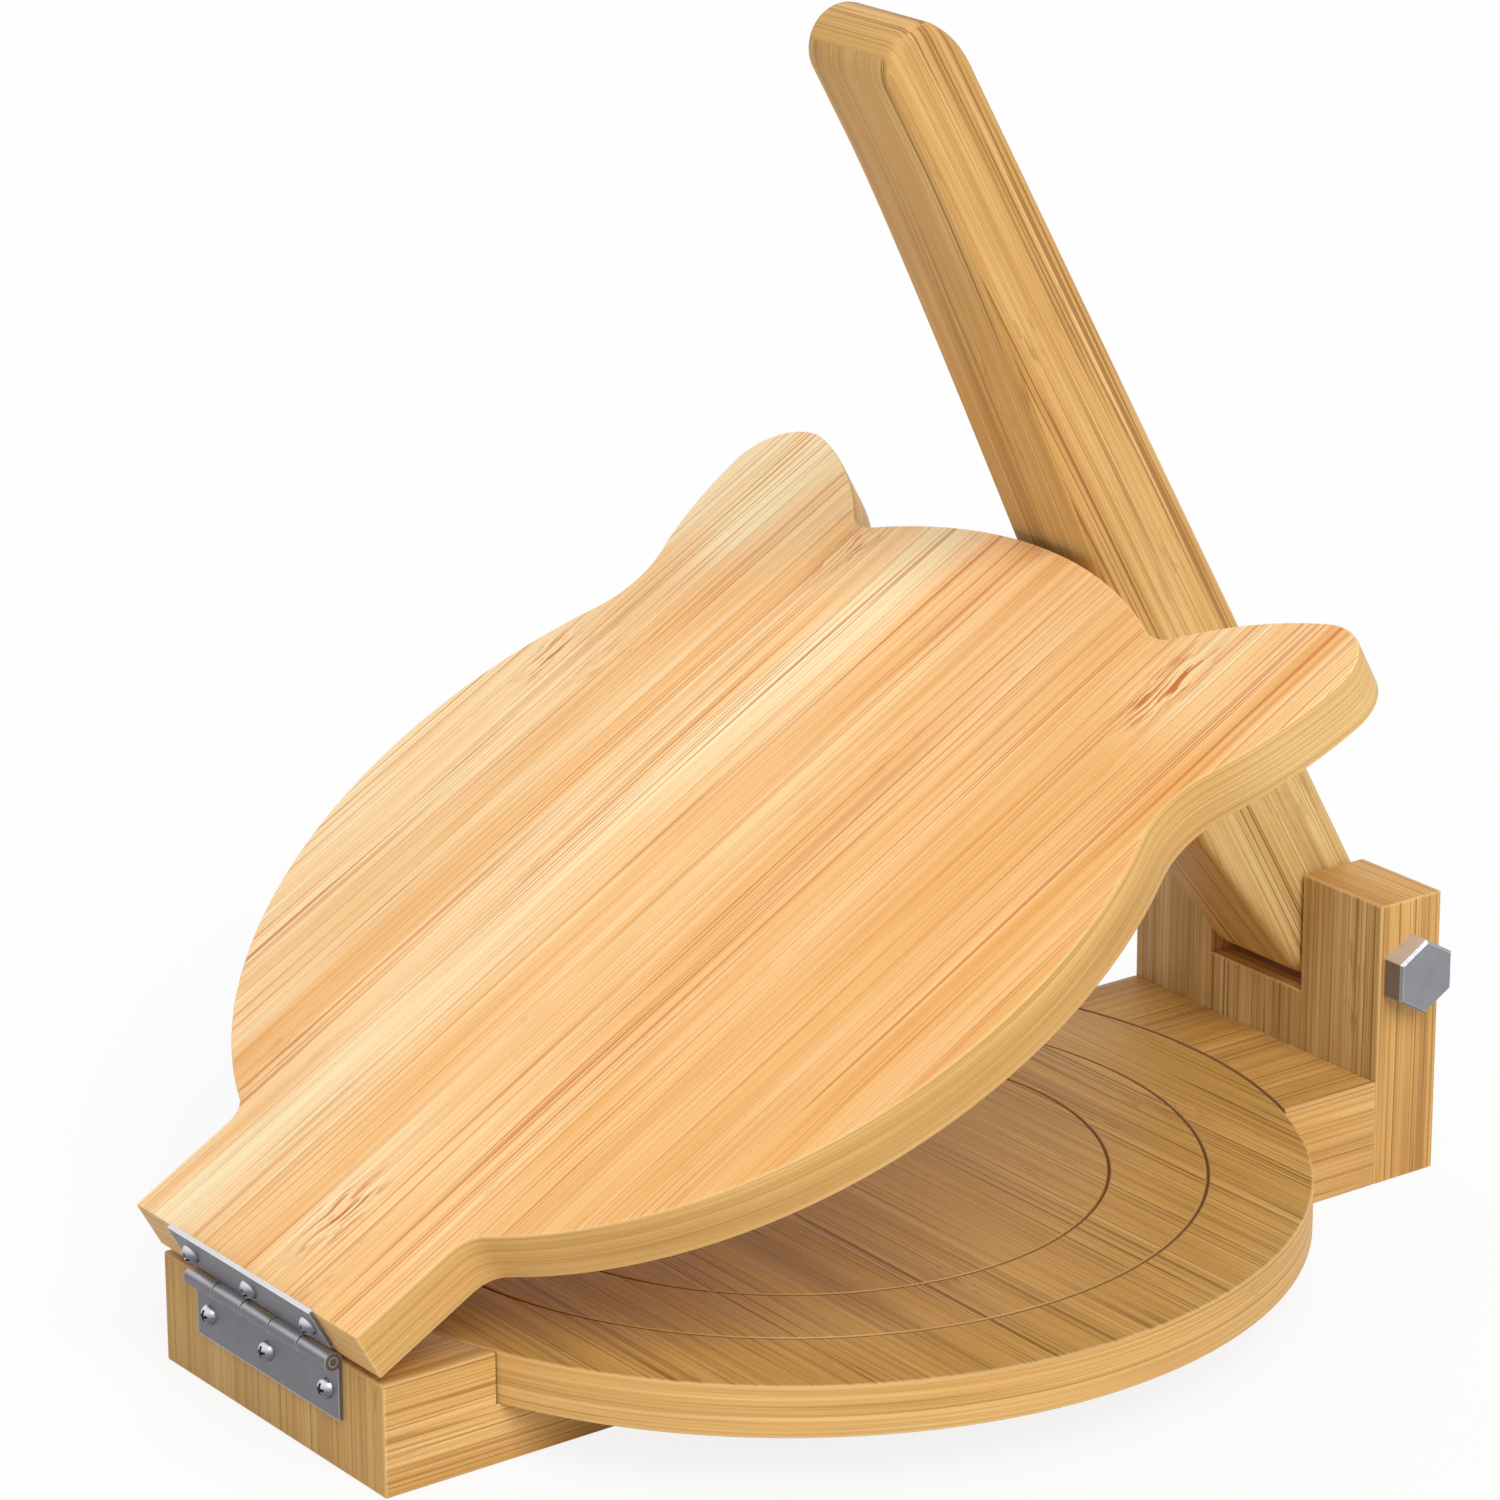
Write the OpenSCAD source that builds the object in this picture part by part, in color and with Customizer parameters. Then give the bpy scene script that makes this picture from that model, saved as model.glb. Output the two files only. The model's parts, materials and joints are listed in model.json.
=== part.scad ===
// Tortilla press of laminated wood. A round disc is let into a long rail, an eared plate folds down
// over it on a butt hinge, and a tapered lever on a bolt presses the plate shut.
//
// Frame: the middle of the disc is at x = 0, y = 0, and the underside of the rail is at z = 0.
// The hinge end is at -Y, the lever end at +Y, and the bolt's head is on the +X side.

/* [Rail and disc] */
// Width of the rail and of the lever post
rail_width = 94; // [88:1:100]
// Height of the rail
rail_height = 28; // [26:1:32]
// Length of rail beyond the disc at each end
end_margin = 22; // [21:0.5:30]
// Diameter of the disc
disc_diameter = 254; // [240:1:262]
// Thickness of the disc, which is let into the rail by as much
disc_thickness = 13; // [11:0.5:14]
// Diameter of the inner ring cut into the disc
inner_ring_diameter = 155; // [120:1:170]
// Diameter of the outer ring cut into the disc
outer_ring_diameter = 203; // [185:1:225]
// Width of the two rings at the disc's surface
ring_width = 1.2; // [0.8:0.1:2]
// Depth of the two rings
ring_depth = 0.7; // [0.4:0.1:1]

/* [Lever post] */
// Thickness of the lever post along the rail
post_thickness = 20; // [18:1:24]
// Height of the lever post
post_height = 75; // [72:1:80]
// Height of the pivot bolt above the underside
bolt_height = 56; // [56:0.5:58]

/* [Press plate] */
// Thickness of the plate
plate_thickness = 13.5; // [12:0.5:15]
// How far the plate's round body stays inside the rim of the disc
plate_inset = 6.5; // [4:0.5:10]
// Distance from the lever post to the edge between the ears when the press is shut
plate_setback = 32.2; // [32:0.2:38]
// Radius of the inside corner between neck and round body
neck_fillet = 8; // [4:0.5:12]
// How far each ear's outer side stays inside the plate's widest place
ear_side_inset = 5; // [2:0.5:8]
// How far each ear stands out beyond the edge between the ears
ear_rise = 8.5; // [6:0.5:12]
// Radius of each ear's tip
ear_tip_radius = 15; // [12:0.5:17]
// Radius of the full curve on the side of an ear that faces the lever
ear_inner_radius = 90; // [70:1:110]
// Radius of the flat curve on the outer side of an ear
ear_outer_radius = 103; // [90:1:130]
// Radius of the inside corner between an ear and the edge that the lever presses
notch_fillet = 8; // [5:0.5:11]
// Radius of the inside corner between an ear and the outer edge of the body
flank_fillet = 26; // [16:1:30]
// Space that stays between plate and disc when the press is shut
closed_gap = 0.8; // [0.5:0.1:2]
// How far the plate stands open, in degrees
open_angle = 29.1; // [20:0.1:30]

/* [Lever] */
// Width of the lever, across the slot
lever_width = 33; // [30:0.5:36]
// Gap on each side of the lever in its slot
lever_side_gap = 1; // [0.5:0.1:2]
// Length of the lever above the pivot bolt
lever_length = 287; // [270:1:300]
// Distance from the pivot bolt to the straight back of the lever
lever_back = 16.5; // [16:0.1:18.2]
// Distance from the pivot bolt to the front of the handle
handle_front = 6; // [5:0.1:9]
// Distance from the pivot bolt to the crown that presses on the plate
crown_front = 20.3; // [18:0.1:20.7]
// Height of the crown above the pivot bolt
crown_height = 50; // [46:0.5:51]
// Radius of the crown
crown_radius = 15; // [12:0.5:20]
// Height above the pivot bolt at which the handle starts to swell towards the crown
swell_height = 258; // [240:1:262]
// Radius of the heel round the pivot bolt
heel_radius = 14.8; // [13.5:0.1:16]
// Height of the middle of the heel above the pivot bolt
heel_rise = 3.5; // [2.5:0.1:4.5]
// Gap between the heel and the slot's floor when the lever is upright
heel_gap = 1.2; // [0.8:0.1:2]
// Radius of the round-over along the lever's edges
lever_roundover = 3.5; // [2:0.5:5]
// Distance from the bolt to the plate's edge where the lever leans on it, square to the lever
lean_front = 15.6; // [15.5:0.1:18]

/* [Pivot bolt] */
// Diameter of the bolt
bolt_diameter = 10; // [8:1:10]
// Length of bolt that stands out beyond the nut
bolt_end = 6; // [3:0.5:12]
// Width across the flats of the bolt's head and of the nut
hex_width = 17; // [15:1:19]
// Chamfer on the outer edges of the bolt's head and of the nut
hex_chamfer = 0.7; // [0.4:0.1:1]
// Height of the bolt's head
bolt_head_height = 6.4; // [5:0.1:8]
// Height of the nut
nut_height = 8; // [6:0.1:8.4]
// Diameter of the washer under the nut
washer_diameter = 20; // [18:1:24]
// Thickness of the washer
washer_thickness = 2; // [1.5:0.1:2.5]

/* [Hinge] */
// Length of the hinge along its pin
hinge_length = 60.5; // [58:0.5:76]
// Number of knuckles, shared out between the two leaves
knuckle_count = 5; // [3:2:7]
// Diameter of the knuckles
knuckle_diameter = 4.6; // [4.4:0.1:6]
// Diameter of the hinge pin
hinge_pin_diameter = 2.2; // [2:0.1:2.4]
// Gap beyond the knuckles where a leaf is notched round the other leaf's knuckles
notch_gap = 1; // [0.4:0.1:1.6]
// Thickness of the leaves
leaf_thickness = 1.2; // [1:0.1:1.4]
// Width of each leaf, measured from the middle of the pin
leaf_width = 15; // [14:0.5:16]
// Distance from the middle of the pin to each row of screws
hinge_screw_row = 8.5; // [8:0.1:9.5]
// Distance between neighbouring screws in a row
hinge_screw_pitch = 25; // [20:0.5:27]

/* [Screws] */
// Diameter of a hinge screw's shank
hinge_screw_diameter = 2.9; // [2.5:0.1:3.2]
// Length of a hinge screw under its head
hinge_screw_length = 14; // [10:1:18]
// Diameter of a hinge screw's rounded head
hinge_screw_head = 5.2; // [4.8:0.1:6]
// Height of a hinge screw's rounded head
hinge_screw_head_height = 2; // [1.5:0.1:2.1]
// Diameter of a disc screw's shank
disc_screw_diameter = 4; // [3.5:0.1:4.5]
// Length of a disc screw
disc_screw_length = 24; // [20:1:25]
// Diameter of a disc screw's flat head
disc_screw_head = 8; // [7.5:0.1:9]
// Distance between the two rows of disc screws along the rail
disc_screw_spread = 160; // [100:1:180]
// Diameter of a post screw's shank
post_screw_diameter = 4.5; // [4:0.1:5]
// Length of a post screw
post_screw_length = 40; // [34:1:42]
// Diameter of a post screw's flat head
post_screw_head = 9; // [8.5:0.1:10]
// Height of the lower post screws above the underside
post_screw_low = 8; // [7:0.5:9]
// Height of the upper post screws above the underside
post_screw_high = 20; // [19:0.5:21]
// Distance across the rail between the screws of a pair
screw_pair_spread = 56; // [40:1:70]

/* [Clearances] */
// Clearance all round between the disc and its seat in the rail
seat_clearance = 0.1; // [0.05:0.05:0.3]
// Running clearance all round the bolt and the hinge pin
pin_clearance = 0.05; // [0.03:0.01:0.09]
// Clearance round the shank of every screw
screw_clearance = 0.05; // [0.03:0.01:0.2]
// Clearance between neighbouring knuckles, and between a knuckle and the other leaf
knuckle_clearance = 0.2; // [0.1:0.05:0.3]
// How far the flat heads lie below the surface of the wood
head_sink = 0.5; // [0.2:0.1:1]

/* [Hidden] */
$fn = 96;
// Number of facets round the disc and its rings
round_steps = 180;

// How far a cutting tool runs past the surface that it leaves
past = 1;
// Largest angle between neighbouring points of an arc
arc_step = 3;
// How far an arc runs into the curves that it joins, so that they cross there and do not just touch
bite = 0.005;

// The rail and what is fixed to it
hinge_end = -disc_diameter / 2 - end_margin;
post_front = disc_diameter / 2 + end_margin;
post_rear = post_front + post_thickness;
rail_length = post_front - hinge_end;
disc_floor = rail_height - disc_thickness;
bolt_y = post_front + post_thickness / 2;
bolt_length = rail_width + washer_thickness + nut_height + bolt_end;
slot_width = lever_width + 2 * lever_side_gap;
slot_floor = bolt_height + heel_rise - heel_radius - heel_gap;

// The hinge pin lies in front of both end faces, half way between rail and shut plate
pin_y = hinge_end - knuckle_diameter / 2 - knuckle_clearance / 2;
pin_z = rail_height + closed_gap / 2;
knuckle_length = hinge_length / knuckle_count;

// The plate's outline is drawn round the middle of its body, and its neck is as wide as the rail
neck_width = rail_width;
body_radius = disc_diameter / 2 - plate_inset;
body_to_end = rail_length - plate_setback - body_radius;
ear_tip = [
    body_radius - ear_side_inset - ear_tip_radius,
    body_radius + ear_rise - ear_tip_radius
];
// Direction in which an ear's tip meets its inner and its outer curve
ear_inner_angle = 106;
ear_outer_angle = -4;

// Middles of the plate's arcs, on its right half: the two sides of the ear, then the three fillets
middle = [0, 0];
ear_inner = on_circle(ear_tip, ear_tip_radius - ear_inner_radius, ear_inner_angle);
ear_outer = on_circle(ear_tip, ear_tip_radius - ear_outer_radius, ear_outer_angle);
neck_corner = [
    neck_width / 2 + neck_fillet,
    -sqrt(pow(body_radius + neck_fillet, 2) - pow(neck_width / 2 + neck_fillet, 2))
];
notch_corner = left_crossing(middle, body_radius + notch_fillet,
                             ear_inner, ear_inner_radius + notch_fillet);
flank_corner = right_crossing(middle, body_radius + flank_fillet,
                              ear_outer, ear_outer_radius + flank_fillet);

// The lever's outline is drawn as [distance in front of the bolt, height above the bolt]
heel = [heel_radius - lever_back, heel_rise];
crown = [crown_front - crown_radius, crown_height];
// The upper edge of the open plate, seen from the bolt, and how far the lever leans to rest on it
shut_edge = [rail_length - plate_setback + hinge_end - pin_y,
             rail_height + closed_gap + plate_thickness - pin_z];
open_edge = [
    bolt_y - pin_y - shut_edge[0] * cos(open_angle) + shut_edge[1] * sin(open_angle),
    pin_z - bolt_height + shut_edge[0] * sin(open_angle) + shut_edge[1] * cos(open_angle)
];
lean_angle = atan2(open_edge[0], open_edge[1]) - asin(lean_front / norm(open_edge));
// Direction in which the crown runs out into the swell, measured from straight forward
crown_exit_angle = 4.7;
// Pull of the crown and of the handle on the curve between them, as shares of its height
crown_pull_share = 0.45;
handle_pull_share = 0.15;
// Radii of the lever's upper end, at its front and at its back
cap_front_radius = 10;
cap_back_radius = 26;
cap_front = [handle_front - cap_front_radius, lever_length - cap_front_radius];
cap_back = [
    cap_back_radius - lever_back,
    cap_front[1] - sqrt(pow(cap_back_radius - cap_front_radius, 2)
                        - pow(cap_back_radius - lever_back - cap_front[0], 2))
];
// Half the angle, seen from the middle of the body, over which an ear stands on the body
half_foot = 25;
// Steps in the round-over along the lever's edges, and in the curve from crown to handle
roundover_steps = 5;
swell_steps = 24;

// The cross cut into a rounded screw head, as shares of the head's height and width and the shank
cross_depth_share = 0.6;
cross_length_share = 0.58;
cross_width_share = 0.28;
// Width of a screw's point, and height of the bevel at the bolt's end, as shares of the diameter
screw_point_share = 0.2;
bolt_bevel_share = 0.1;

// ---- Arcs and curves ----

// Point at angle a on a circle
function on_circle(centre, r, a) = centre + r * [cos(a), sin(a)];

// Direction from one point to another
function heading(from, to) = atan2(to[1] - from[1], to[0] - from[0]);

// The same direction as a, written within half a turn of ref
function near_to(a, ref) = a - 360 * round((a - ref) / 360);

// Points along an arc that goes the shorter way round
function arc(centre, r, from, to) =
    let (end = near_to(to, from), n = max(1, ceil(abs(end - from) / arc_step)))
    [for (i = [0 : n]) on_circle(centre, r, from + (end - from) * i / n)];

// Angle at the first centre between the line to the second centre and a point where two circles cross
function crossing_angle(c1, r1, c2, r2) =
    let (d = norm(c2 - c1))
    acos((r1 * r1 + d * d - r2 * r2) / (2 * r1 * d));

// Where two circles cross, on the left and on the right of the line from the first centre to the second
function left_crossing(c1, r1, c2, r2) =
    on_circle(c1, r1, heading(c1, c2) + crossing_angle(c1, r1, c2, r2));
function right_crossing(c1, r1, c2, r2) =
    on_circle(c1, r1, heading(c1, c2) - crossing_angle(c1, r1, c2, r2));

// Points along a cubic curve from p0 to p3
function curve(p0, p1, p2, p3, n) = [
    for (i = [0 : n]) let (t = i / n, u = 1 - t)
        u * u * u * p0 + 3 * u * u * t * p1 + 3 * u * t * t * p2 + t * t * t * p3
];

// ---- Places ----

// Puts what is drawn for the shut plate where the plate stands, turned about the hinge pin
module opened() {
    translate([0, pin_y, pin_z])
        rotate([open_angle, 0, 0])
            translate([0, -pin_y, -pin_z])
                children();
}

// Puts what is drawn upright round the origin where the lever stands
module leaning() {
    translate([0, bolt_y, bolt_height])
        rotate([lean_angle, 0, 0])
            children();
}

// The places of the disc screws, in four-fold symmetry
module at_disc_screws() {
    for (x = [-1, 1], y = [-1, 1])
        translate([x * screw_pair_spread / 2, y * disc_screw_spread / 2, head_sink])
            children();
}

// The places of the post screws, which go in from behind
module at_post_screws() {
    for (x = [-1, 1], z = [post_screw_low, post_screw_high])
        translate([x * screw_pair_spread / 2, post_rear - head_sink, z])
            rotate([90, 0, 0])
                children();
}

// The places of one row of hinge screws. side is 1 for the plate's leaf, -1 for the rail's leaf
module at_hinge_screws(side) {
    for (i = [-1 : 1])
        translate([i * hinge_screw_pitch, hinge_end - leaf_thickness, pin_z + side * hinge_screw_row])
            rotate([-90, 0, 0])
                children();
}

// ---- Fasteners: each points along +Z, with the underside or face of its head at z = 0 ----

module screw_tip(diameter, length) {
    translate([0, 0, length - diameter])
        cylinder(h = diameter, d1 = diameter, d2 = diameter * screw_point_share);
}

module rounded_head_screw(diameter, length, head, head_height) {
    sphere_radius = (head * head / 4 + head_height * head_height) / (2 * head_height);
    cross_depth = head_height * cross_depth_share;
    cross_length = head * cross_length_share;
    cross_width = diameter * cross_width_share;
    cylinder(h = length - diameter, d = diameter);
    screw_tip(diameter, length);
    difference() {
        intersection() {
            translate([0, 0, sphere_radius - head_height])
                sphere(r = sphere_radius);
            translate([0, 0, -head_height])
                cylinder(h = head_height, d = head + past);
        }
        for (a = [0, 90])
            rotate([0, 0, a])
                translate([-cross_length / 2, -cross_width / 2, -head_height - past])
                    cube([cross_length, cross_width, cross_depth + past]);
    }
}

module flat_head_screw(diameter, length, head) {
    head_height = (head - diameter) / 2;
    cylinder(h = head_height, d1 = head, d2 = diameter);
    cylinder(h = length - diameter, d = diameter);
    screw_tip(diameter, length);
}

// The hole that a flat-head screw goes into, open to the surface behind its head
module flat_head_hole(diameter, length, head) {
    hole = diameter + 2 * screw_clearance;
    mouth = head + 2 * screw_clearance;
    cylinder(h = length + screw_clearance, d = hole);
    cylinder(h = (mouth - hole) / 2, d1 = mouth, d2 = hole);
    translate([0, 0, -head_sink - past])
        cylinder(h = head_sink + past, d = mouth);
}

// Six-sided block with its outer edges chamfered at z = height
module hex_block(height) {
    corner = hex_width / cos(30);
    cylinder(h = height - hex_chamfer, d = corner, $fn = 6);
    translate([0, 0, height - hex_chamfer])
        cylinder(h = hex_chamfer, d1 = corner, d2 = corner - 2 * hex_chamfer, $fn = 6);
}

// ---- Base ----

module base_rail() {
    color("burlywood")
        difference() {
            translate([-rail_width / 2, hinge_end, 0])
                cube([rail_width, rail_length, rail_height]);
            translate([0, 0, disc_floor])
                cylinder(h = disc_thickness + past, d = disc_diameter + 2 * seat_clearance, $fn = round_steps);
            at_disc_screws()
                flat_head_hole(disc_screw_diameter, disc_screw_length, disc_screw_head);
            at_post_screws()
                flat_head_hole(post_screw_diameter, post_screw_length, post_screw_head);
            at_hinge_screws(-1)
                cylinder(h = hinge_screw_length + screw_clearance,
                         d = hinge_screw_diameter + 2 * screw_clearance);
        }
}

module ring_groove(diameter) {
    rotate_extrude($fn = round_steps)
        polygon([
            [diameter / 2 - ring_width / 2, rail_height],
            [diameter / 2, rail_height - ring_depth],
            [diameter / 2 + ring_width / 2, rail_height],
            [diameter / 2 + ring_width / 2, rail_height + past],
            [diameter / 2 - ring_width / 2, rail_height + past]
        ]);
}

module base_disc() {
    color("burlywood")
        difference() {
            translate([0, 0, disc_floor])
                cylinder(h = disc_thickness, d = disc_diameter, $fn = round_steps);
            ring_groove(inner_ring_diameter);
            ring_groove(outer_ring_diameter);
            at_disc_screws()
                flat_head_hole(disc_screw_diameter, disc_screw_length, disc_screw_head);
        }
}

module disc_screws() {
    color("silver")
        at_disc_screws()
            flat_head_screw(disc_screw_diameter, disc_screw_length, disc_screw_head);
}

module lever_post() {
    color("peru")
        difference() {
            translate([-rail_width / 2, post_front, 0])
                cube([rail_width, post_thickness, post_height]);
            translate([-slot_width / 2, post_front - past, slot_floor])
                cube([slot_width, post_thickness + 2 * past, post_height]);
            translate([-rail_width / 2 - past, bolt_y, bolt_height])
                rotate([0, 90, 0])
                    cylinder(h = rail_width + 2 * past, d = bolt_diameter + 2 * pin_clearance);
            at_post_screws()
                flat_head_hole(post_screw_diameter, post_screw_length, post_screw_head);
        }
}

module post_screws() {
    color("silver")
        at_post_screws()
            flat_head_screw(post_screw_diameter, post_screw_length, post_screw_head);
}

// ---- Pivot bolt ----

module pivot_bolt() {
    bevel = bolt_diameter * bolt_bevel_share;
    color("gray")
        translate([rail_width / 2, bolt_y, bolt_height])
            rotate([0, 90, 0])
                union() {
                    hex_block(bolt_head_height);
                    translate([0, 0, bevel - bolt_length])
                        cylinder(h = bolt_length - bevel, d = bolt_diameter);
                    translate([0, 0, -bolt_length])
                        cylinder(h = bevel, d1 = bolt_diameter - 2 * bevel, d2 = bolt_diameter);
                }
}

module pivot_washer() {
    color("silver")
        translate([-rail_width / 2 - washer_thickness, bolt_y, bolt_height])
            rotate([0, 90, 0])
                difference() {
                    cylinder(h = washer_thickness, d = washer_diameter);
                    translate([0, 0, -past])
                        cylinder(h = washer_thickness + 2 * past, d = bolt_diameter + 2 * pin_clearance);
                }
}

module pivot_nut() {
    color("gray")
        translate([-rail_width / 2 - washer_thickness, bolt_y, bolt_height])
            rotate([0, -90, 0])
                difference() {
                    hex_block(nut_height);
                    translate([0, 0, -past])
                        cylinder(h = nut_height + 2 * past, d = bolt_diameter + 2 * pin_clearance);
                }
}

// ---- Hinge ----

// One leaf with its knuckles. side is 1 for the plate's leaf above the pin, -1 for the rail's leaf
// below it, and first is the number of the leaf's first knuckle, counted from the -X end.
module hinge_leaf(side, first) {
    sweep = knuckle_diameter / 2 + knuckle_clearance;
    notch = sweep + notch_gap;
    difference() {
        union() {
            translate([-hinge_length / 2, hinge_end - leaf_thickness, side > 0 ? pin_z : pin_z - leaf_width])
                cube([hinge_length, leaf_thickness, leaf_width]);
            for (i = [first : 2 : knuckle_count - 1])
                at_knuckle(i)
                    cylinder(h = knuckle_length, d = knuckle_diameter);
        }
        // Room for the other leaf's knuckles
        for (i = [1 - first : 2 : knuckle_count - 1])
            at_knuckle(i)
                translate([0, 0, -knuckle_clearance]) {
                    cylinder(h = knuckle_length + 2 * knuckle_clearance, r = sweep);
                    translate([side > 0 ? -notch : 0, hinge_end - leaf_thickness - past - pin_y, 0])
                        cube([notch, leaf_thickness + 2 * past, knuckle_length + 2 * knuckle_clearance]);
                }
        // Bore for the pin
        translate([-hinge_length / 2 - past, pin_y, pin_z])
            rotate([0, 90, 0])
                cylinder(h = hinge_length + 2 * past, d = hinge_pin_diameter + 2 * pin_clearance);
        at_hinge_screws(side)
            translate([0, 0, -past])
                cylinder(h = leaf_thickness + 2 * past, d = hinge_screw_diameter + 4 * screw_clearance);
    }
}

// Puts what is drawn along +Z round the origin where knuckle number i starts, pointing along +X
module at_knuckle(i) {
    translate([-hinge_length / 2 + i * knuckle_length, pin_y, pin_z])
        rotate([0, 90, 0])
            children();
}

module hinge_base_leaf() {
    color("slategray")
        hinge_leaf(-1, 0);
}

module hinge_plate_leaf() {
    color("dimgray")
        opened()
            hinge_leaf(1, 1);
}

module hinge_pin() {
    color("lightgray")
        translate([-hinge_length / 2, pin_y, pin_z])
            rotate([0, 90, 0])
                cylinder(h = hinge_length, d = hinge_pin_diameter);
}

module hinge_base_screws() {
    color("silver")
        at_hinge_screws(-1)
            rounded_head_screw(hinge_screw_diameter, hinge_screw_length, hinge_screw_head,
                               hinge_screw_head_height);
}

module hinge_plate_screws() {
    color("silver")
        opened()
            at_hinge_screws(1)
                rounded_head_screw(hinge_screw_diameter, hinge_screw_length, hinge_screw_head,
                                   hinge_screw_head_height);
}

// ---- Press plate ----

// Stock for the inside corner where two curves meet at a point. corner is the middle of the fillet,
// and a and b are the directions from it to the two curves, b to the left of a.
module corner_stock(corner, r, a, b, meeting) {
    overlap = 2;
    polygon([
        corner,
        on_circle(corner, r + overlap, a),
        meeting + overlap * (meeting - corner) / norm(meeting - corner),
        on_circle(corner, r + overlap, b)
    ]);
}

// Right ear, as far down as the middle of the body's rim
module ear() {
    rim = heading(middle, ear_tip);
    translate(ear_tip)
        circle(r = ear_tip_radius + bite);
    intersection() {
        translate(ear_inner)
            circle(r = ear_inner_radius);
        translate(ear_outer)
            circle(r = ear_outer_radius);
        polygon([
            ear_tip,
            on_circle(ear_tip, ear_tip_radius + past, ear_inner_angle),
            on_circle(middle, body_radius, rim + half_foot),
            on_circle(middle, body_radius - 2 * ear_tip_radius, rim),
            on_circle(middle, body_radius, rim - half_foot),
            on_circle(ear_tip, ear_tip_radius + past, ear_outer_angle)
        ]);
    }
}

module both_sides() {
    for (side = [0, 1])
        mirror([side, 0, 0])
            children();
}

// The plate's outline, drawn round the middle of its body with the hinged end at -Y
module plate_outline() {
    difference() {
        union() {
            circle(r = body_radius);
            translate([-neck_width / 2, -body_to_end])
                square([neck_width, body_to_end]);
            both_sides() {
                ear();
                corner_stock(neck_corner, neck_fillet, heading(neck_corner, middle), 180,
                             [neck_width / 2, -sqrt(pow(body_radius, 2) - pow(neck_width / 2, 2))]);
                corner_stock(notch_corner, notch_fillet,
                             heading(notch_corner, middle), heading(notch_corner, ear_inner),
                             left_crossing(middle, body_radius, ear_inner, ear_inner_radius));
                corner_stock(flank_corner, flank_fillet,
                             heading(flank_corner, ear_outer), heading(flank_corner, middle),
                             right_crossing(middle, body_radius, ear_outer, ear_outer_radius));
            }
        }
        both_sides() {
            translate(neck_corner)
                circle(r = neck_fillet + bite);
            translate(notch_corner)
                circle(r = notch_fillet + bite);
            translate(flank_corner)
                circle(r = flank_fillet + bite);
        }
    }
}

module press_plate() {
    color("navajowhite")
        opened()
            difference() {
                translate([0, hinge_end + body_to_end, rail_height + closed_gap])
                    linear_extrude(height = plate_thickness)
                        plate_outline();
                at_hinge_screws(1)
                    cylinder(h = hinge_screw_length + screw_clearance,
                             d = hinge_screw_diameter + 2 * screw_clearance);
            }
}

// ---- Lever ----

// Outline of the lever seen from its -X side: up the front from the heel, over the end, down the back
function lever_outline() =
    let (
        span = norm(crown - heel),
        // Direction square to the straight stretch between heel and crown
        belly_angle = heading(heel, crown) - acos((heel_radius - crown_radius) / span),
        crown_end = on_circle(crown, crown_radius, crown_exit_angle),
        swell_start = [handle_front, swell_height],
        swell_length = swell_height - crown_end[1],
        crown_pull = crown_end
            + crown_pull_share * swell_length * [-sin(crown_exit_angle), cos(crown_exit_angle)],
        handle_pull = swell_start - [0, handle_pull_share * swell_length]
    )
    concat(
        arc(heel, heel_radius, -90, belly_angle),
        arc(crown, crown_radius, belly_angle, crown_exit_angle),
        slice(curve(crown_end, crown_pull, handle_pull, swell_start, swell_steps), 1),
        arc(cap_front, cap_front_radius, 0, heading(cap_back, cap_front)),
        slice(arc(cap_back, cap_back_radius, heading(cap_back, cap_front), 180), 1),
        slice(arc(heel, heel_radius, 180, 270), 0, 1)
    );

// The points of a list from number first on, without the last few
function slice(points, first, spare = 0) = [for (i = [first : len(points) - 1 - spare]) points[i]];

// A closed outline moved inwards by a distance, each point square to the stretch that it lies on
function inset(points, distance) =
    let (n = len(points))
    [for (i = [0 : n - 1])
        let (
            along = points[(i + 1) % n] - points[(i + n - 1) % n],
            inwards = [-along[1], along[0]] / norm(along)
        )
        points[i] + distance * inwards
    ];

// Solid of an outline in [front, height], across the lever's width, with its edges rounded over
module rounded_bar(outline, width, r) {
    n = len(outline);
    steps = [for (k = [0 : roundover_steps]) 90 * k / roundover_steps];
    rings = concat(
        [for (a = steps) [-width / 2 + r * (1 - cos(a)), r * (1 - sin(a))]],
        [for (k = [roundover_steps : -1 : 0]) [width / 2 - r * (1 - cos(steps[k])), r * (1 - sin(steps[k]))]]
    );
    points = [for (ring = rings) for (p = inset(outline, ring[1])) [ring[0], -p[0], p[1]]];
    side = [
        for (k = [0 : len(rings) - 2]) for (i = [0 : n - 1])
            let (j = (i + 1) % n)
            for (face = [[k * n + i, (k + 1) * n + j, k * n + j],
                         [k * n + i, (k + 1) * n + i, (k + 1) * n + j]])
                face
    ];
    near_cap = [[for (i = [0 : n - 1]) i]];
    far_cap = [[for (i = [n - 1 : -1 : 0]) (len(rings) - 1) * n + i]];
    polyhedron(points = points, faces = concat(near_cap, side, far_cap), convexity = 4);
}

module lever() {
    color("tan")
        leaning()
            difference() {
                rounded_bar(lever_outline(), lever_width, lever_roundover);
                translate([-lever_width / 2 - past, 0, 0])
                    rotate([0, 90, 0])
                        cylinder(h = lever_width + 2 * past, d = bolt_diameter + 2 * pin_clearance);
            }
}

base_rail();
base_disc();
lever_post();
disc_screws();
post_screws();
hinge_base_leaf();
hinge_pin();
hinge_base_screws();
pivot_bolt();
pivot_washer();
pivot_nut();
press_plate();
hinge_plate_leaf();
hinge_plate_screws();
lever();
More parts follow.
